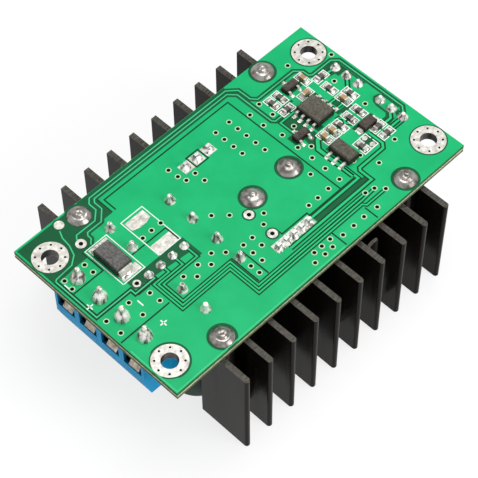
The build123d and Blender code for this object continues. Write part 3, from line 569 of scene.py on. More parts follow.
# Traces under the mask: width, width of the bare strip below, slots of the strip and the trace, points
for width, strip_width, dark_slot, light_slot, points in (
    # Along the edges
    (0.21, 1.0, WIDE, FINE, [(-24.1, 12.5), (-24.1, 12.9), (-23.6, 13.55), (-19.66, 13.55), (-18.1, 15.0),
     (-18.1, 16.6), (-17.3, 17.45), (13.5, 17.5), (15.1, 16.05), (15.15, 13.4), (16.0, 12.4),
     (24.45, 12.4), (25.6, 11.2), (25.6, 10.0), (26.15, 9.55), (30.6, 9.55), (31.65, 8.55),
     (31.65, -5.65), (30.2, -7.2)]),
    (0.21, 1.0, WIDE, FINE, [(-23.2, 10.65), (-22.4, 11.45), (-22.4, 12.2), (-22.0, 12.7), (-19.1, 12.7),
     (-17.3, 14.5), (-17.3, 16.2), (-16.8, 16.8), (13.1, 16.8), (14.3, 15.5), (14.3, 7.6), (14.7, 7.1),
     (16.2, 7.1)]),
    (0.21, 0.75, WIDE, FINE, [(-24.9, 16.05), (-25.5, 14.7), (-25.7, 12.9), (-26.4, 11.05),
     (-27.95, 9.87), (-31.4, 9.6), (-31.76, 9.3)]),
    (0.24, 0.85, NARROW, FINE, [(-31.76, 9.3), (-31.76, 0.05), (-24.66, 0.0), (-24.66, -1.05),
     (-20.63, -1.05), (-20.63, 0.1)]),
    # Three side by side
    (0.27, 0.75, NARROW, COPPER, [(-18.25, -0.5), (-18.25, -1.8), (-21.5, -1.8), (-21.5, -8.2),
     (-11.25, -8.2), (-11.25, -14.45), (12.2, -14.45), (12.6, -15.05), (17.1, -15.05)]),
    (0.27, 0.75, NARROW, COPPER, [(-15.75, -0.5), (-15.75, -2.3), (-21.0, -2.3), (-21.0, -7.7),
     (-10.75, -7.7), (-10.75, -13.9), (13.0, -13.9), (15.9, -13.7)]),
    (0.27, 0.75, NARROW, COPPER, [(-13.1, -0.5), (-13.1, -2.85), (-20.45, -2.85), (-20.45, -7.2),
     (-10.25, -7.2), (-10.25, -13.4), (14.2, -13.3)]),
    # Shorter ones
    (0.4, 0.95, NARROW, COPPER, [(-1.9, -12.2), (16.9, -12.2), (16.9, -9.7), (17.3, -9.25), (22.9, -9.25),
     (23.6, -8.5), (23.6, -5.5)]),
    (0.4, 0.9, NARROW, COPPER, [(4.8, -10.5), (15.6, -10.5), (15.6, -7.4)]),
    (0.35, 0.95, NARROW, COPPER, [(27.0, -7.2), (30.0, -7.2)]),
    (0.35, 0.95, NARROW, COPPER, [(30.0, 5.3), (28.0, 3.2)]),
    # Round the small parts
    (0.62, 1.2, NARROW, COPPER, [(17.1, -0.3), (16.6, -0.6), (15.35, -1.95), (15.35, -9.6)]),
    (0.3, 0.75, NARROW, COPPER, [(15.0, 2.5), (15.0, 6.25), (18.3, 6.25)]),
    (0.35, 0.95, NARROW, COPPER, [(27.9, 8.1), (30.0, 7.85)]),
    (0.4, 1.0, NARROW, COPPER, [(26.9, -5.95), (28.4, -5.95), (29.4, -4.9), (30.0, -4.8)]),
    (0.3, 0.8, NARROW, COPPER, [(21.9, 0.2), (22.5, 0.2), (22.9, -0.6), (22.4, -1.3), (23.1, -2.3)]),
    (0.3, 0.75, NARROW, COPPER, [(23.2, 3.3), (25.0, 3.3)]),
    (0.3, 0.75, NARROW, COPPER, [(23.2, 1.75), (25.0, 1.75)]),
):
    dark.strip(points, strip_width, *gap_heights(), slot=dark_slot)
    light.strip(points, width, *TRACE, slot=light_slot)

# Narrow gaps between copper areas
GAP_WIDTH, HOOK_WIDTH = 0.26, 0.42
for points in (
    [(-16.6, 16.4), (-16.6, 12.8)],
    [(-15.85, 12.8), (-15.85, 15.5), (12.05, 15.5), (12.05, -9.95), (15.1, -9.95)],
    [(-32.2, 5.7), (-25.1, 5.7)],
    [(-24.4, -0.3), (-24.4, -1.5), (-22.0, -1.5)],
    [(-32.3, -5.9), (-22.1, -5.9)],
    [(-20.05, 4.6), (-12.8, 4.6), (-12.8, 1.4)],
    [(-9.7, -6.85), (-9.7, -12.95)],
    [(-7.6, -6.85), (-7.6, -12.95)],
    [(-0.85, -8.2), (-0.85, -9.35), (4.8, -9.35), (4.8, -9.95), (12.05, -9.95)],
    [(4.75, -14.8), (4.75, -17.95)],
    [(12.0, -15.2), (12.0, -17.95)],
    [(24.8, -8.0), (30.6, -8.0)],
    [(-0.97, 9.6), (-0.97, 12.1), (1.66, 12.1), (1.66, 9.6), (-0.97, 9.6)],
    [(-25.2, 10.4), (-25.2, 5.7)],
):
    dark.strip(points, GAP_WIDTH, *gap_heights(), slot=NARROW)
dark.strip([(27.2, -5.3), (28.2, -5.3), (28.85, -4.7), (28.85, -2.6), (29.15, -1.6), (29.9, -1.05),
            (30.7, -1.25), (31.15, -2.2), (31.15, -5.4)], HOOK_WIDTH, *gap_heights(), slot=WIDE)

# Bare laminate, in larger areas. Those by the top left mounting hole follow its ring.
MOUNT_X, MOUNT_Y, MOUNT_HOLE_R, MOUNT_RING_R = 29.3, 13.4, 1.5, 2.95


def arc(x, y, radius, start, end):
    """Points on a circle, ten degrees apart."""
    return [(x + radius * cos(radians(a)), y + radius * sin(radians(a))) for a in range(start, end + 1, 10)]


def bare_area(outline):
    dark.prism(outline, *gap_heights(AREA_TOP))


bare_area([(-32.2, 17.9), (-MOUNT_X, 17.9), *arc(-MOUNT_X, MOUNT_Y, MOUNT_RING_R - 0.05, 90, 270),
           (-MOUNT_X, 9.05), (-32.2, 9.0)])
bare_area([(-MOUNT_X, 17.9), (-19.0, 17.9), (-18.6, 16.8), (-18.6, 15.2), (-19.9, 14.1), (-23.8, 14.1),
           (-24.6, 13.2), (-24.7, 12.3), (-25.3, 11.0), (-26.0, 10.2), (-27.6, 9.2), (-MOUNT_X, 9.05),
           *arc(-MOUNT_X, MOUNT_Y, MOUNT_RING_R - 0.05, -90, 90)])
bare_area([(-27.6, 9.2), (-25.35, 9.2), (-25.0, 10.4), (-22.75, 10.4), (-22.5, 11.5), (-22.5, 12.2),
           (-21.9, 12.9), (-24.6, 12.9), (-24.7, 12.3), (-25.3, 11.0), (-26.0, 10.2)])
bare_area([(-24.8, 13.4), (-24.6, 12.8), (-21.7, 12.8), (-19.8, 13.9), (-19.8, 14.3), (-23.9, 14.3)])
dark.strip(arc(-MOUNT_X, -MOUNT_Y, MOUNT_RING_R + 0.15, -110, 110), 0.46, *gap_heights(), slot=WIDE)
light.strip([(-32.26, -8.0), (-32.26, -18.02), (4.4, -18.02)], 0.2, *TRACE, slot=FINE)
for outline in (
    [(-18.9, 12.75), (-16.75, 12.75), (-16.75, 16.6), (-17.1, 16.4), (-17.1, 14.4)],
    [(-19.4, 16.4), (-18.4, 16.4), (-17.4, 17.5), (13.3, 17.6), (13.9, 18.2), (-19.4, 18.2)],
    [(-24.2, 1.4), (-24.2, -0.4), (-13.5, -1.4), (-13.5, -3.0), (-12.2, -3.0), (-12.2, 1.4)],
    rectangle(4.8, -11.85, 16.6, -10.9),
):
    bare_area(outline)
# Smaller dark areas of mask over laminate. Some of them are painted shadow, as marked.
for patch in (
    rectangle(15.35, 3.2, 18.2, 5.9),
    [(15.3, 1.2), (15.0, -0.6), (15.5, -1.3), (16.6, -0.3), (17.5, 0.0), (17.7, 1.2)],
    # Painted shadow along the amplifier's two sides and under its leads
    rectangle(18.0, 0.6, 19.4, 6.7),
    rectangle(22.9, 0.6, 23.7, 6.7),
    rectangle(23.6, 0.2, 26.0, 1.2),
    rectangle(23.9, 2.1, 25.3, 2.9),
    # Painted shadow beside the regulator's left side, and round the transistor at the top
    rectangle(16.2, -7.4, 17.4, -2.7),
    rectangle(19.9, 9.2, 23.6, 11.3),
    rectangle(13.4, 1.1, 17.3, 3.2),
    rectangle(22.3, -4.9, 26.9, -2.9),
    [(25.6, 9.25), (31.1, 9.25), (31.1, 6.3), (29.0, 6.3), (29.0, 7.0), (27.6, 7.3), (27.6, 8.6),
     (25.6, 8.8)],
    [(30.6, 9.1), (31.1, 8.5), (31.1, 1.9), (30.75, 2.2), (30.75, 8.6)],
    [(27.2, -6.35), (29.4, -6.35), (29.8, -5.7), (30.6, -5.7), (30.6, -6.15), (27.2, -6.75)],
    rectangle(16.3, 7.9, 19.8, 8.4),
):
    dark.prism(patch, *gap_heights(PATCH_TOP))

vias = [
    (24.7, 13.9), (31.6, 10.3), (15.4, 11.5), (12.7, 11.0), (15.4, 8.4), (12.7, 7.9), (13.4, 4.3),
    (16.05, 4.2), (13.3, 0.7), (15.0, -0.7), (13.4, -2.4), (13.3, -5.4), (13.3, -8.5), (10.7, -8.5),
    (10.8, -4.5), (27.7, 6.0), (27.7, -0.95), (25.55, -9.4), (20.2, -10.8), (17.6, -7.6), (19.2, -7.6),
    (14.2, -13.3), (15.9, -13.7), (17.1, -15.05), (13.45, -16.5), (10.6, -16.3), (9.25, 12.4),
    (9.25, 10.4), (9.25, 8.4), (9.25, 6.3), (9.25, 4.2), (6.15, 12.4), (6.15, 10.4), (6.15, 8.3),
    (6.15, 6.3), (-4.6, 12.4), (-4.45, 10.4), (-4.0, 8.9), (-2.0, 8.9), (-1.95, 6.8), (-6.1, 1.1),
    (-4.05, -0.9), (0.03, -4.5), (-1.55, -6.0), (-4.6, -6.5), (-4.6, -8.55), (-6.6, -6.5), (-6.6, -8.6),
    (-6.6, -10.6), (-8.6, -10.1), (-8.55, -11.9), (-9.5, -5.5), (-11.2, -4.0), (-12.7, -5.5),
    (6.1, -8.55), (8.2, -8.55), (0.1, -15.4), (1.8, -15.4), (3.7, -15.4), (-1.2, -16.8), (1.1, -16.8),
    (2.9, -16.7), (5.7, -16.3), (8.2, -16.3), (-30.7, 8.5), (-26.5, 8.5), (-30.9, 6.55), (-26.5, 6.55),
    (-31.2, -1.5), (-26.5, -1.5), (-23.0, -2.5), (-31.1, -4.6), (-26.5, -4.6), (-22.9, -4.6),
    (-17.3, -4.05), (-14.2, -4.05), (-15.8, -5.55), (-16.7, 5.7), (-14.7, 5.8), (-12.7, 5.8),
]
VIA_HOLE_R, VIA_R = 0.34, 0.5
rims = Shape()
# Dark discs in the via holes: painted shade inside them
hole_shade_discs = Shape()
for x, y in vias:
    rims.ring(x, y, VIA_HOLE_R - 0.04, VIA_R, *RIM, count=16)
    hole_shade_discs.disc(x, y, VIA_HOLE_R, FOOT, 0.03, count=14)

# Plated mounting holes, with eight small vias each
PLATING, HALO_R, SMALL_VIA_R, SMALL_VIA_RING = 0.035, 3.18, 0.2, 2.35
mounts = Shape()
for x in (-MOUNT_X, MOUNT_X):
    for y in (-MOUNT_Y, MOUNT_Y):
        dark.ring(x, y, MOUNT_RING_R - 0.05, HALO_R, *gap_heights(), count=48)
        for low in (0.0, -BOARD_THICKNESS - PLATING):
            mounts.ring(x, y, MOUNT_HOLE_R - 0.06, MOUNT_RING_R, low, low + PLATING, count=48)
        mounts.ring(x, y, MOUNT_HOLE_R - 0.07, MOUNT_HOLE_R, -BOARD_THICKNESS, 0.03, count=48, slot=1)
        # Dark discs in the eight small vias: painted shade inside them
        for k in range(8):
            a = radians(45 * k)
            hole_shade_discs.disc(x + SMALL_VIA_RING * cos(a), y + SMALL_VIA_RING * sin(a), SMALL_VIA_R, 0.0, 0.042,
                       count=12)
mounts.piece("mount_plating", ["tinned", "bore"], slot="tinned_pin")

# Spare plated holes, each with its wall and a disc over the hole, both dark as painted shade, and one round
# pad without a hole
SPARE_HOLE_R = 0.42
pads = Shape()
for x, y, outer, drilled in ((-24.2, 16.97, 0.85, False), (-24.2, 11.85, 0.9, True), (-23.2, 0.2, 0.68, True),
                             (-1.84, -3.03, 0.87, True), (-1.84, -8.2, 0.87, True)):
    if drilled:
        pads.ring(x, y, SPARE_HOLE_R - 0.05, outer, *PAD, count=28)
        pads.ring(x, y, SPARE_HOLE_R - 0.05, SPARE_HOLE_R, -BOARD_THICKNESS, 0.01, count=28, slot=1)
        # The dark disc over the hole is painted shade.
        pads.disc(x, y, SPARE_HOLE_R - 0.04, -0.03, 0.028, count=28, slot=1)
    else:
        pads.disc(x, y, outer, *PAD, count=28)
    dark.ring(x, y, outer, outer + 0.28, *gap_heights(), count=28)

# Other bare pads
for outline in (
    [(-16.9, 9.7), (-16.9, 7.9), (-15.6, 7.5), (-14.2, 7.5), (-12.95, 7.9), (-12.95, 9.7)],
    rectangle(-17.1, 1.6, -12.95, 3.7),
    rectangle(-24.4, 1.75, -20.6, 3.3),
    rectangle(-24.4, 8.5, -20.6, 10.0),
):
    pads.prism(outline, *PAD)
for x in (-20.63, -18.29, -15.76, -13.08):
    pads.oval(x, 0.1, 0.42, 0.55, *PAD)
for y in (-5.75, -7.5):
    pads.oval(22.3, y, 0.5, 0.46, *PAD)


def square_pads(centres, half_x, y0, y1):
    """A row of bare pads between two values of Y."""
    for x in centres:
        pads.prism(rectangle(x - half_x, y0, x + half_x, y1), *PAD)


square_pads((-2.15, 0.3, 2.85), 1.05, 9.8, 11.8)
square_pads([0.35 + 1.7 * k for k in range(-2, 3)], 0.8, -11.6, -9.75)
pads.piece("bare_pads", ["tinned", "hole"], slot="tinned_pin")

# Printed lines: boxes round the resistors, brackets, plus and minus signs by the terminals
BOX_LINE, BRACKET_LINE, SIGN_LINE, SIGN_ARM = 0.16, 0.17, 0.22, 0.65
silk = Shape()


def print_box(x0, y0, x1, y1):
    silk.strip([*rectangle(x0, y0, x1, y1), (x0, y0 - BOX_LINE / 2)], BOX_LINE, *SILK)


print_box(-24.8, 1.5, -20.25, 10.26)
print_box(-17.16, 1.5, -12.55, 10.26)


def print_brackets(x, y, along_y):
    """A dark bare patch with two printed brackets, one round each pad of a chip part."""
    half_length, half_width, gap = 1.42, 0.74, 0.2
    for side in (-1, 1):
        line = [(half_width, gap), (half_width, half_length), (-half_width, half_length), (-half_width, gap)]
        line = [(px, side * py) for px, py in line]
        if not along_y:
            line = [(py, px) for px, py in line]
        silk.strip([(x + px, y + py) for px, py in line], BRACKET_LINE, *SILK)
    w, h = (half_width, half_length) if along_y else (half_length, half_width)
    dark.prism(rectangle(x - w, y - h, x + w, y + h), FOOT, BRACKET_TOP)


print_brackets(22.3, -6.62, True)
for node in ("chip_resistor_bodies", "chip_capacitor_bodies"):
    for lo, hi in islands(node):
        print_brackets((lo.x + hi.x) / 2, (lo.y + hi.y) / 2, hi.x - lo.x < hi.y - lo.y)
for x, y, plus in ((-31.2, 7.3, False), (-31.2, 2.2, True), (-25.3, -2.8, False), (-25.3, -7.9, True)):
    silk.strip([(x, y - SIGN_ARM), (x, y + SIGN_ARM)], SIGN_LINE, *SILK)
    if plus:
        silk.strip([(x - SIGN_ARM, y), (x + SIGN_ARM, y)], SIGN_LINE, *SILK)

rims.piece("via_rims", ["via"], slot="board_green")
hole_shade_discs.piece("via_hole_shade", ["hole"], slot="board_green")


# Solder joints
def joint(shape, x, y, profile, seed, wobble, count, lean=0.0):
    """A turned blob of solder whose edge and height wander a little, and that leans towards +X."""

    def shift(angle, r, z):
        place = Vector((cos(angle) * 1.3 + seed * 3.7, sin(angle) * 1.3, r * 0.9 + seed))
        wander = wobble * noise.noise(place)
        lift = 1.2 * wander * smoothstep(z * 3) if r > 0.3 else 0
        return r * (1 + wander), z + lift

    slant = Matrix(((1, 0, lean, 0), (0, 1, 0, 0), (0, 0, 1, 0), (0, 0, 0, 1)))
    shape.lathe(profile, count, Matrix.Translation((x, y, 0)) @ slant, shift)


def middle(lo, hi):
    return (lo.x + hi.x) / 2, (lo.y + hi.y) / 2


def dome_profile(pad, height, pin_r, pin_top):
    """A rounded slope up from the pad, then a low cap with a small dimple that hides the pin."""
    edge = 0.05
    brow = pin_r * 1.12
    line = [(pad, 0.0), (pad, edge)]
    for k in range(1, 10):
        t = k / 9
        line.append((pad - (pad - brow) * t, edge + (height - edge) * sin(t * pi / 2)))
    cap = pin_top - height
    line += [(pin_r * 1.02, height + 0.03), (pin_r * 0.9, height + cap * 0.55),
             (pin_r * 0.68, height + cap * 0.86), (pin_r * 0.42, pin_top), (pin_r * 0.2, pin_top - 0.02),
             (0, pin_top - 0.08)]
    return line


def dome_joints(shape, node, height, pin_r, pin_top, seed, wobble):
    """A wide joint on each solid of a CAD node, with bare laminate round it."""
    pad = 2.06
    for k, (lo, hi) in enumerate(islands(node)):
        x, y = middle(lo, hi)
        joint(shape, x, y, dome_profile(pad, height, pin_r, pin_top), seed + k, wobble, 40)
        dark.ring(x, y, pad - 0.06, pad + 0.36, *gap_heights(), count=36)


SMOOTH = 60

big = Shape()
dome_joints(big, "heatsink_solder", height=0.72, pin_r=1.0, pin_top=1.12, seed=1, wobble=0.04)
for lo, hi in islands("heatsink_solder"):
    big.disc(*middle(lo, hi), 1.0, box_mm("heatsink_pins")[0].z, -0.1, count=32, slot=1)
big.piece("heatsink_joints", ["solder", "pin"], slot="solder", replaces=["heatsink_solder", "heatsink_pins"],
          smooth=SMOOTH)

coil = Shape()
dome_joints(coil, "inductor_solder", height=0.82, pin_r=0.62, pin_top=1.19, seed=11, wobble=0.05)
coil.piece("inductor_joints", ["solder"], slot="solder", replaces=["inductor_solder"], smooth=SMOOTH)

# A full dome with the terminal's slim pin standing out of it
spikes = Shape()
tip = box_mm("contact_frame_1")[1].z
spike = [(1.25, 0), (1.25, 0.06), (1.24, 0.3), (1.19, 0.6), (1.09, 0.92), (0.94, 1.22), (0.77, 1.5),
         (0.62, 1.72), (0.52, 1.95), (0.48, 2.2), (0.47, tip - 0.4), (0.42, tip - 0.2),
         (0.3, tip - 0.07), (0.15, tip - 0.01), (0, tip)]
for k, (lo, hi) in enumerate(islands("terminal_solder")):
    joint(spikes, *middle(lo, hi), spike, seed=k + 21, wobble=0.04, count=28, lean=0.02)
spikes.piece("terminal_joints", ["bright_solder"], slot="solder", replaces=["terminal_solder"], smooth=SMOOTH)


def small_profile(pad, lead, top):
    """A hollow cone of solder from the pad up to the end of a thin lead."""
    edge, neck, steps = 0.05, lead * 1.15, 8
    line = [(pad, 0), (pad, edge)]
    for step in range(1, steps + 1):
        t = step / steps
        line.append((neck + (pad - neck) * (1 - t) ** 1.35, edge + (top * 0.84 - edge) * t))
    return line + [(lead * 1.02, top * 0.92), (lead * 0.75, top * 0.98), (lead * 0.4, top + 0.01),
                   (0, top + 0.02)]


small = Shape()
for node, pad in (("capacitor_leads", 0.94), ("trimmer_pins", 0.9), ("lamp_leads", 0.8)):
    for k, (lo, hi) in enumerate(islands(node)):
        lead = hypot(hi.x - lo.x, hi.y - lo.y) / 2 * 0.72 + 0.03
        profile = small_profile(pad, lead, hi.z + 0.03)
        joint(small, *middle(lo, hi), profile, seed=k + 31 + 20 * pad, wobble=0.05, count=24)
small.piece("small_joints", ["bright_solder"], slot="solder", replaces=["small_joint_solder"], smooth=SMOOTH)

flat = Shape()
for k, (lo, hi) in enumerate(islands("device_solder")):
    half = (hi.x - lo.x) / 2
    profile = [(half * 1.05, 0), (half, 0.06), (half * 0.8, 0.3), (half * 0.6, 0.5), (half * 0.4, 0.64),
               (0, 0.7)]
    joint(flat, *middle(lo, hi), profile, seed=k + 61, wobble=0.1, count=20)
flat.piece("device_joints", ["bright_solder"], slot="solder", replaces=["device_solder"], smooth=SMOOTH)


# Capacitors
def capacitor_can(number):
    """A can in its sleeve, with a crimp groove near the board and a scored bare end below."""
    groove_down, groove_depth, vent_up, score_depth, stripe_half = 2.2, 0.42, 0.3, 0.16, 0.42
    lo, hi = box_mm(f"capacitor_{number}")
    x, y = middle(lo, hi)
    r, top, low = (hi.x - lo.x) / 2, hi.z, lo.z
    groove, vent_r, vent = top - groove_down, r - 0.85, low + vent_up
    line = [(0, top), (r - 1.1, top), (r - 0.5, top - 0.06), (r - 0.15, top - 0.2), (r, top - 0.55),
            (r, groove + 0.75), (r - 0.06, groove + 0.5), (r - 0.3, groove + 0.22),
            (r - groove_depth, groove), (r - 0.3, groove - 0.22), (r - 0.06, groove - 0.5),
            (r, groove - 0.75), (r, groove - 4), (r, low + 4), (r, low + 0.6), (r - 0.06, low + 0.32),
            (r - 0.2, low + 0.12), (r - 0.45, low), (r - 0.75, low + 0.02), (vent_r, low + 0.1),
            (vent_r, vent)]
    bare_from = len(line) - 1
    rings = 12
    line += [(vent_r * (1 - k / rings), vent) for k in range(1, rings + 1)]
    outward = atan2(-y, 0)

    def pick(k, angle):
        """The slot of a face: sleeve, stripe or bare end."""
        if k >= bare_from:
            return 2
        turn = (angle - outward + pi) % (2 * pi) - pi
        return 1 if abs(turn) < stripe_half and k > 2 else 0

    def score(angle, ring_r, z):
        """A cross pressed into the bare end."""
        if abs(z - vent) > 0.01:
            return ring_r, z
        off_line = min(abs(ring_r * cos(angle)), abs(ring_r * sin(angle)))
        depth = score_depth * (1 - smoothstep(off_line / 0.3)) * smoothstep((3.4 - ring_r) / 0.6)
        return ring_r, z + depth

    can = Shape()
    can.lathe(line, 72, Matrix.Translation((x, y, 0)), score, pick)
    can.piece(f"capacitor_{number}_can", ["sleeve", "stripe", "aluminium"], slot="capacitor_green",
              replaces=[f"capacitor_{number}"], smooth=50)


for number in range(1, 5):
    capacitor_can(number)

# Inductor: a ring core with rounded edges, and one wire wound round it
CORE_DEPTH, CORE_EDGE_R = 3.2, 0.8
WIRE_R, WIRE_GAP, TURNS, LEADS, LEAD_TOP = 0.5, 0.06, 14, 8.35, 0.9
lo, hi = box_mm("inductor_core")
cx, cy, cz = (lo + hi) / 2
outer, half = (hi.x - lo.x) / 2, (hi.y - lo.y) / 2
inner = outer - CORE_DEPTH
line = []
for sx, sy, first in ((1, -1, -90), (1, 1, 0), (-1, 1, 90), (-1, -1, 180)):
    corner = ((outer + inner) / 2 + sx * (CORE_DEPTH / 2 - CORE_EDGE_R), sy * (half - CORE_EDGE_R))
    for k in range(5):
        a = radians(first + 90 * k / 4)
        line.append((corner[0] + CORE_EDGE_R * cos(a), corner[1] + CORE_EDGE_R * sin(a)))
line.append(line[0])
core = Shape()
core.lathe(line, 72, Matrix.Translation((cx, cy, cz)) @ Matrix.Rotation(radians(90), 4, "X"))
core.piece("inductor_ring", ["core"], slot="core_yellow", replaces=["inductor_core"], smooth=50)

wound = outer + WIRE_GAP + WIRE_R
bore_r = inner - WIRE_GAP - WIRE_R
face = half + WIRE_GAP + WIRE_R
lead_angle = degrees(asin(LEADS / 2 / wound))
step = (360 - 2 * lead_angle) / TURNS
rim_r = wound / cos(radians(step / 2))


def coil_point(angle, radius, y):
    a = radians(angle)
    return (cx + radius * sin(a), cy + y, cz + radius * cos(a))


path = [(cx + LEADS / 2, cy, LEAD_TOP), coil_point(lead_angle, wound, 0)]
for turn in range(TURNS):
    start = lead_angle + turn * step
    path.append(coil_point(start, rim_r if turn else wound, -face))
    path.append(coil_point(start + step / 2, bore_r, -face))
    path.append(coil_point(start + step / 2, bore_r, face))
    path.append(coil_point(start + step, rim_r if turn < TURNS - 1 else wound, face))
path += [coil_point(-lead_angle, wound, 0), (cx - LEADS / 2, cy, LEAD_TOP)]
wire = Shape()
wire.tube(rounded(path, radius=0.9, steps=5), WIRE_R, 12)
wire.piece("inductor_wire", ["copper"], slot="copper_wire", replaces=["inductor_winding"], smooth=70)


# Lamps
def lamp_lens(number, colour):
    """A 3 mm lens, hanging: a flange at the top and a half ball below."""
    body, flange, chamfer, steps = 1.5, 1.0, 0.1, 8
    lo, hi = box_mm(f"lamp_{number}")
    r, top, low = (hi.x - lo.x) / 2, hi.z, lo.z
    line = [(0, top), (r - chamfer, top), (r, top - chamfer), (r, top - flange + chamfer),
            (r - chamfer, top - flange), (body + 0.05, top - flange), (body, top - flange - 0.1)]
    for k in range(steps + 1):
        a = radians(90 * k / steps)
        line.append((body * cos(a), low + body - body * sin(a)))
    lens = Shape()
    lens.lathe(line, 40, Matrix.Translation((*middle(lo, hi), 0)))
    lens.piece(f"lamp_{number}_lens", [colour], slot=f"lamp_{colour}", replaces=[f"lamp_{number}"], smooth=50)


lamp_lens(1, "red")
lamp_lens(2, "green")

# Pads and solder slopes of the surface parts
PAD_TOP = 0.03
bits = Shape()


def pad_under(x0, y0, x1, y1):
    bits.prism(rectangle(x0, y0, x1, y1), FOOT, PAD_TOP)


def wedge(x0, y0, x1, y1, way, height):
    """A solder slope that falls from a part's end to the edge of its pad."""
    steps, bevel = 5, 0.08
    along_x = way[0] != 0
    start, end = ((x0, x1) if along_x else (y0, y1))[::sum(way)]
    low, high = (y0, y1) if along_x else (x0, x1)
    verts = []
    for k in range(steps + 1):
        t = k / steps
        along = start + (end - start) * t
        z = PAD_TOP + height * (1 - t) ** 2.2
        pinch = bevel * t
        row = ((low + pinch, 0.0), (low + pinch + bevel, z), (high - pinch - bevel, z), (high - pinch, 0.0))
        verts += [(along, across, up) if along_x else (across, along, up) for across, up in row]
    faces = [(0, 1, 2, 3), tuple(4 * steps + i for i in (3, 2, 1, 0))]
    for k in range(steps):
        faces += walls(4 * k, 4 * k + 4, 4)
    bits.add(verts, faces)


def soldered_end(lo, hi, way, reach, height, back, grow, side=0.0):
    """A pad under one end of a part, and the solder slope beyond the end, where way points."""
    if way[0]:
        x0, x1 = (hi.x, hi.x + reach) if way[0] > 0 else (lo.x - reach, lo.x)
        pad_x0, pad_x1 = (hi.x - back, x1) if way[0] > 0 else (x0, lo.x + back)
        pad_under(pad_x0, lo.y - grow, pad_x1, hi.y + grow)
        wedge(x0, lo.y - side, x1, hi.y + side, way, height)
    else:
        y0, y1 = (hi.y, hi.y + reach) if way[1] > 0 else (lo.y - reach, lo.y)
        pad_y0, pad_y1 = (hi.y - back, y1) if way[1] > 0 else (y0, lo.y + back)
        pad_under(lo.x - grow, pad_y0, hi.x + grow, pad_y1)
        wedge(lo.x - side, y0, hi.x + side, y1, way, height)


def other_cap(cap, caps, along_y):
    """The cap at the same chip's other end: the nearest one that is in line with this one."""
    x, y = middle(*cap)

    def distance(other):
        other_x, other_y = middle(*other)
        off_line = abs(other_x - x) if along_y else abs(other_y - y)
        return hypot(other_x - x, other_y - y) + (0 if off_line < 0.05 else 9)

    return min((c for c in caps if c[0] != cap[0]), key=distance)


for node in ("chip_resistor_caps", "chip_capacitor_caps"):
    caps = islands(node)
    for lo, hi in caps:
        x, y = middle(lo, hi)
        along_y = hi.x - lo.x > hi.y - lo.y
        partner_x, partner_y = middle(*other_cap((lo, hi), caps, along_y))
        way = (0, 1 if y > partner_y else -1) if along_y else (1 if x > partner_x else -1, 0)
        cap_length = min(hi.x - lo.x, hi.y - lo.y)
        soldered_end(lo, hi, way, reach=0.42, height=(hi.z - lo.z) * 0.7, back=cap_length, grow=0.08)

# Leads: the CAD node, the bodies they belong to, how far the solder reaches out and up
for node, bodies, reach, height in (
    ("amplifier_leads", [box_mm("amplifier_body")], 0.35, 0.16),
    ("regulator_leads", [box_mm("regulator_body")], 0.35, 0.16),
    ("surface_diode_ends", [box_mm("surface_diode_body")], 0.35, 0.16),
    ("transistor_leads", islands("transistor_bodies"), 0.35, 0.16),
    ("shunt_ends", [box_mm("shunt_body")], 0.5, 0.3),
):
    for lo, hi in islands(node):
        x, y = middle(lo, hi)
        body_lo, body_hi = min(bodies, key=lambda body: hypot(middle(*body)[0] - x, middle(*body)[1] - y))
        if x < body_lo.x - 0.05:
            way = (-1, 0)
        elif x > body_hi.x + 0.05:
            way = (1, 0)
        else:
            way = (0, 1 if y > body_hi.y else -1)
        soldered_end(lo, hi, way, reach, height, back=0.5, grow=0.1, side=0.03)
bits.piece("surface_part_solder", ["bright_solder"], slot="solder", smooth=SMOOTH)
silk.piece("printed_lines", ["silk"], slot="board_green")
# The dark piece also holds painted shadows beside the amplifier, the regulator and the transistor.
dark.piece("bare_laminate_and_painted_shadows", ["gap", "line"], slot="board_green")
light.piece("covered_traces", ["trace", "fine"], slot="board_green")

# Camera: the lens, turn and place that fit the photograph's board and fins
camera_data = bpy.data.cameras.new("camera")
camera_data.sensor_width = 36
camera_data.lens = 135.84
camera_data.clip_start = 0.01
camera_data.clip_end = 20
camera = bpy.data.objects.new("camera", camera_data)
scene.collection.objects.link(camera)
camera_place = Vector((-120.196, -119.944, 231.634))
turning = Vector((2.3610311101, -0.9899212921, 0.3022874759))
board_to_camera = Quaternion(turning.normalized(), turning.length).to_matrix()
to_world = board_to_camera.transposed() @ Matrix(((1, 0, 0), (0, -1, 0), (0, 0, -1)))
camera.matrix_world = Matrix.Translation(camera_place * MM) @ to_world.to_4x4()
scene.camera = camera


# Light and floor
def lamp(name, place, watts, size):
    """A round lamp, aimed at the middle of the part."""
    data = bpy.data.lights.new(name, "AREA")
    data.energy = watts
    data.shape = "DISK"
    data.size = size
    made = bpy.data.objects.new(name, data)
    scene.collection.objects.link(made)
    made.location = Vector(place) * MM
    made.rotation_mode = "QUATERNION"
    made.rotation_quaternion = (Vector((0, 0, -10 * MM)) - made.location).to_track_quat("-Z", "Y")


lamp("top", (80, 30, 460), watts=1.55, size=0.35)
lamp("key", (110, -390, 250), watts=1.2, size=0.30)


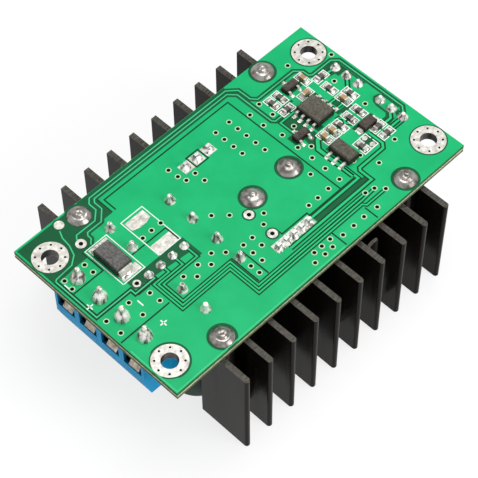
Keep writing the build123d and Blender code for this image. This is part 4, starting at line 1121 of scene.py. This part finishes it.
def shown_rays(tree):
    """1 for the rays that show the background: the camera's, and those off gloss or through glass."""
    rays = tree.nodes.new("ShaderNodeLightPath")
    shown = rays.outputs["Is Camera Ray"]
    for kind in ("Is Transmission Ray", "Is Glossy Ray"):
        larger = tree.nodes.new("ShaderNodeMath")
        larger.operation = "MAXIMUM"
        tree.links.new(shown, larger.inputs[0])
        tree.links.new(rays.outputs[kind], larger.inputs[1])
        shown = larger.outputs[0]
    return shown


# The world gives a soft light, and is white where it shows
SKY_STRENGTH = 0.4
world = bpy.data.worlds.new("world")
scene.world = world
world.use_nodes = True
sky = world.node_tree
sky.nodes.clear()
blend = sky.nodes.new("ShaderNodeMixShader")
sky.links.new(shown_rays(sky), blend.inputs[0])
for socket, strength in ((1, SKY_STRENGTH), (2, 1.0)):
    background = sky.nodes.new("ShaderNodeBackground")
    background.inputs["Color"].default_value = (1, 1, 1, 1)
    background.inputs["Strength"].default_value = strength
    sky.links.new(background.outputs[0], blend.inputs[socket])
ending = sky.nodes.new("ShaderNodeOutputWorld")
sky.links.new(blend.outputs[0], ending.inputs[0])

# The floor is mostly white by itself where it shows, and otherwise lit, so that it keeps the shadow
FLOOR_GLOW, FLOOR_HALF = 0.78, 3.0
paper = Tree("floor_white")
matte = paper.nodes.new("ShaderNodeBsdfDiffuse")
paper.put(matte.inputs["Color"],
          paper.ramp(paper.noise(3, 2), (0.3, (0.93, 0.93, 0.93, 1)), (0.7, (0.95, 0.95, 0.95, 1))))
glow = paper.nodes.new("ShaderNodeEmission")
glow.inputs["Strength"].default_value = 1.0
joined = paper.nodes.new("ShaderNodeMixShader")
paper.put(joined.inputs[0], paper.math("MULTIPLY", shown_rays(paper), FLOOR_GLOW))
paper.links.new(matte.outputs[0], joined.inputs[1])
paper.links.new(glow.outputs[0], joined.inputs[2])
paper.links.new(joined.outputs[0], paper.out.inputs["Surface"])
floor_mesh = bpy.data.meshes.new("floor")
level = cad_box[0].z
corners = [(sx * FLOOR_HALF, sy * FLOOR_HALF, level) for sx, sy in ((-1, -1), (1, -1), (1, 1), (-1, 1))]
floor_mesh.from_pydata(corners, [], [(0, 1, 2, 3)])
floor_mesh.materials.append(paper.mat)
floor = bpy.data.objects.new("floor", floor_mesh)
scene.collection.objects.link(floor)

scene.view_settings.view_transform = "Standard"
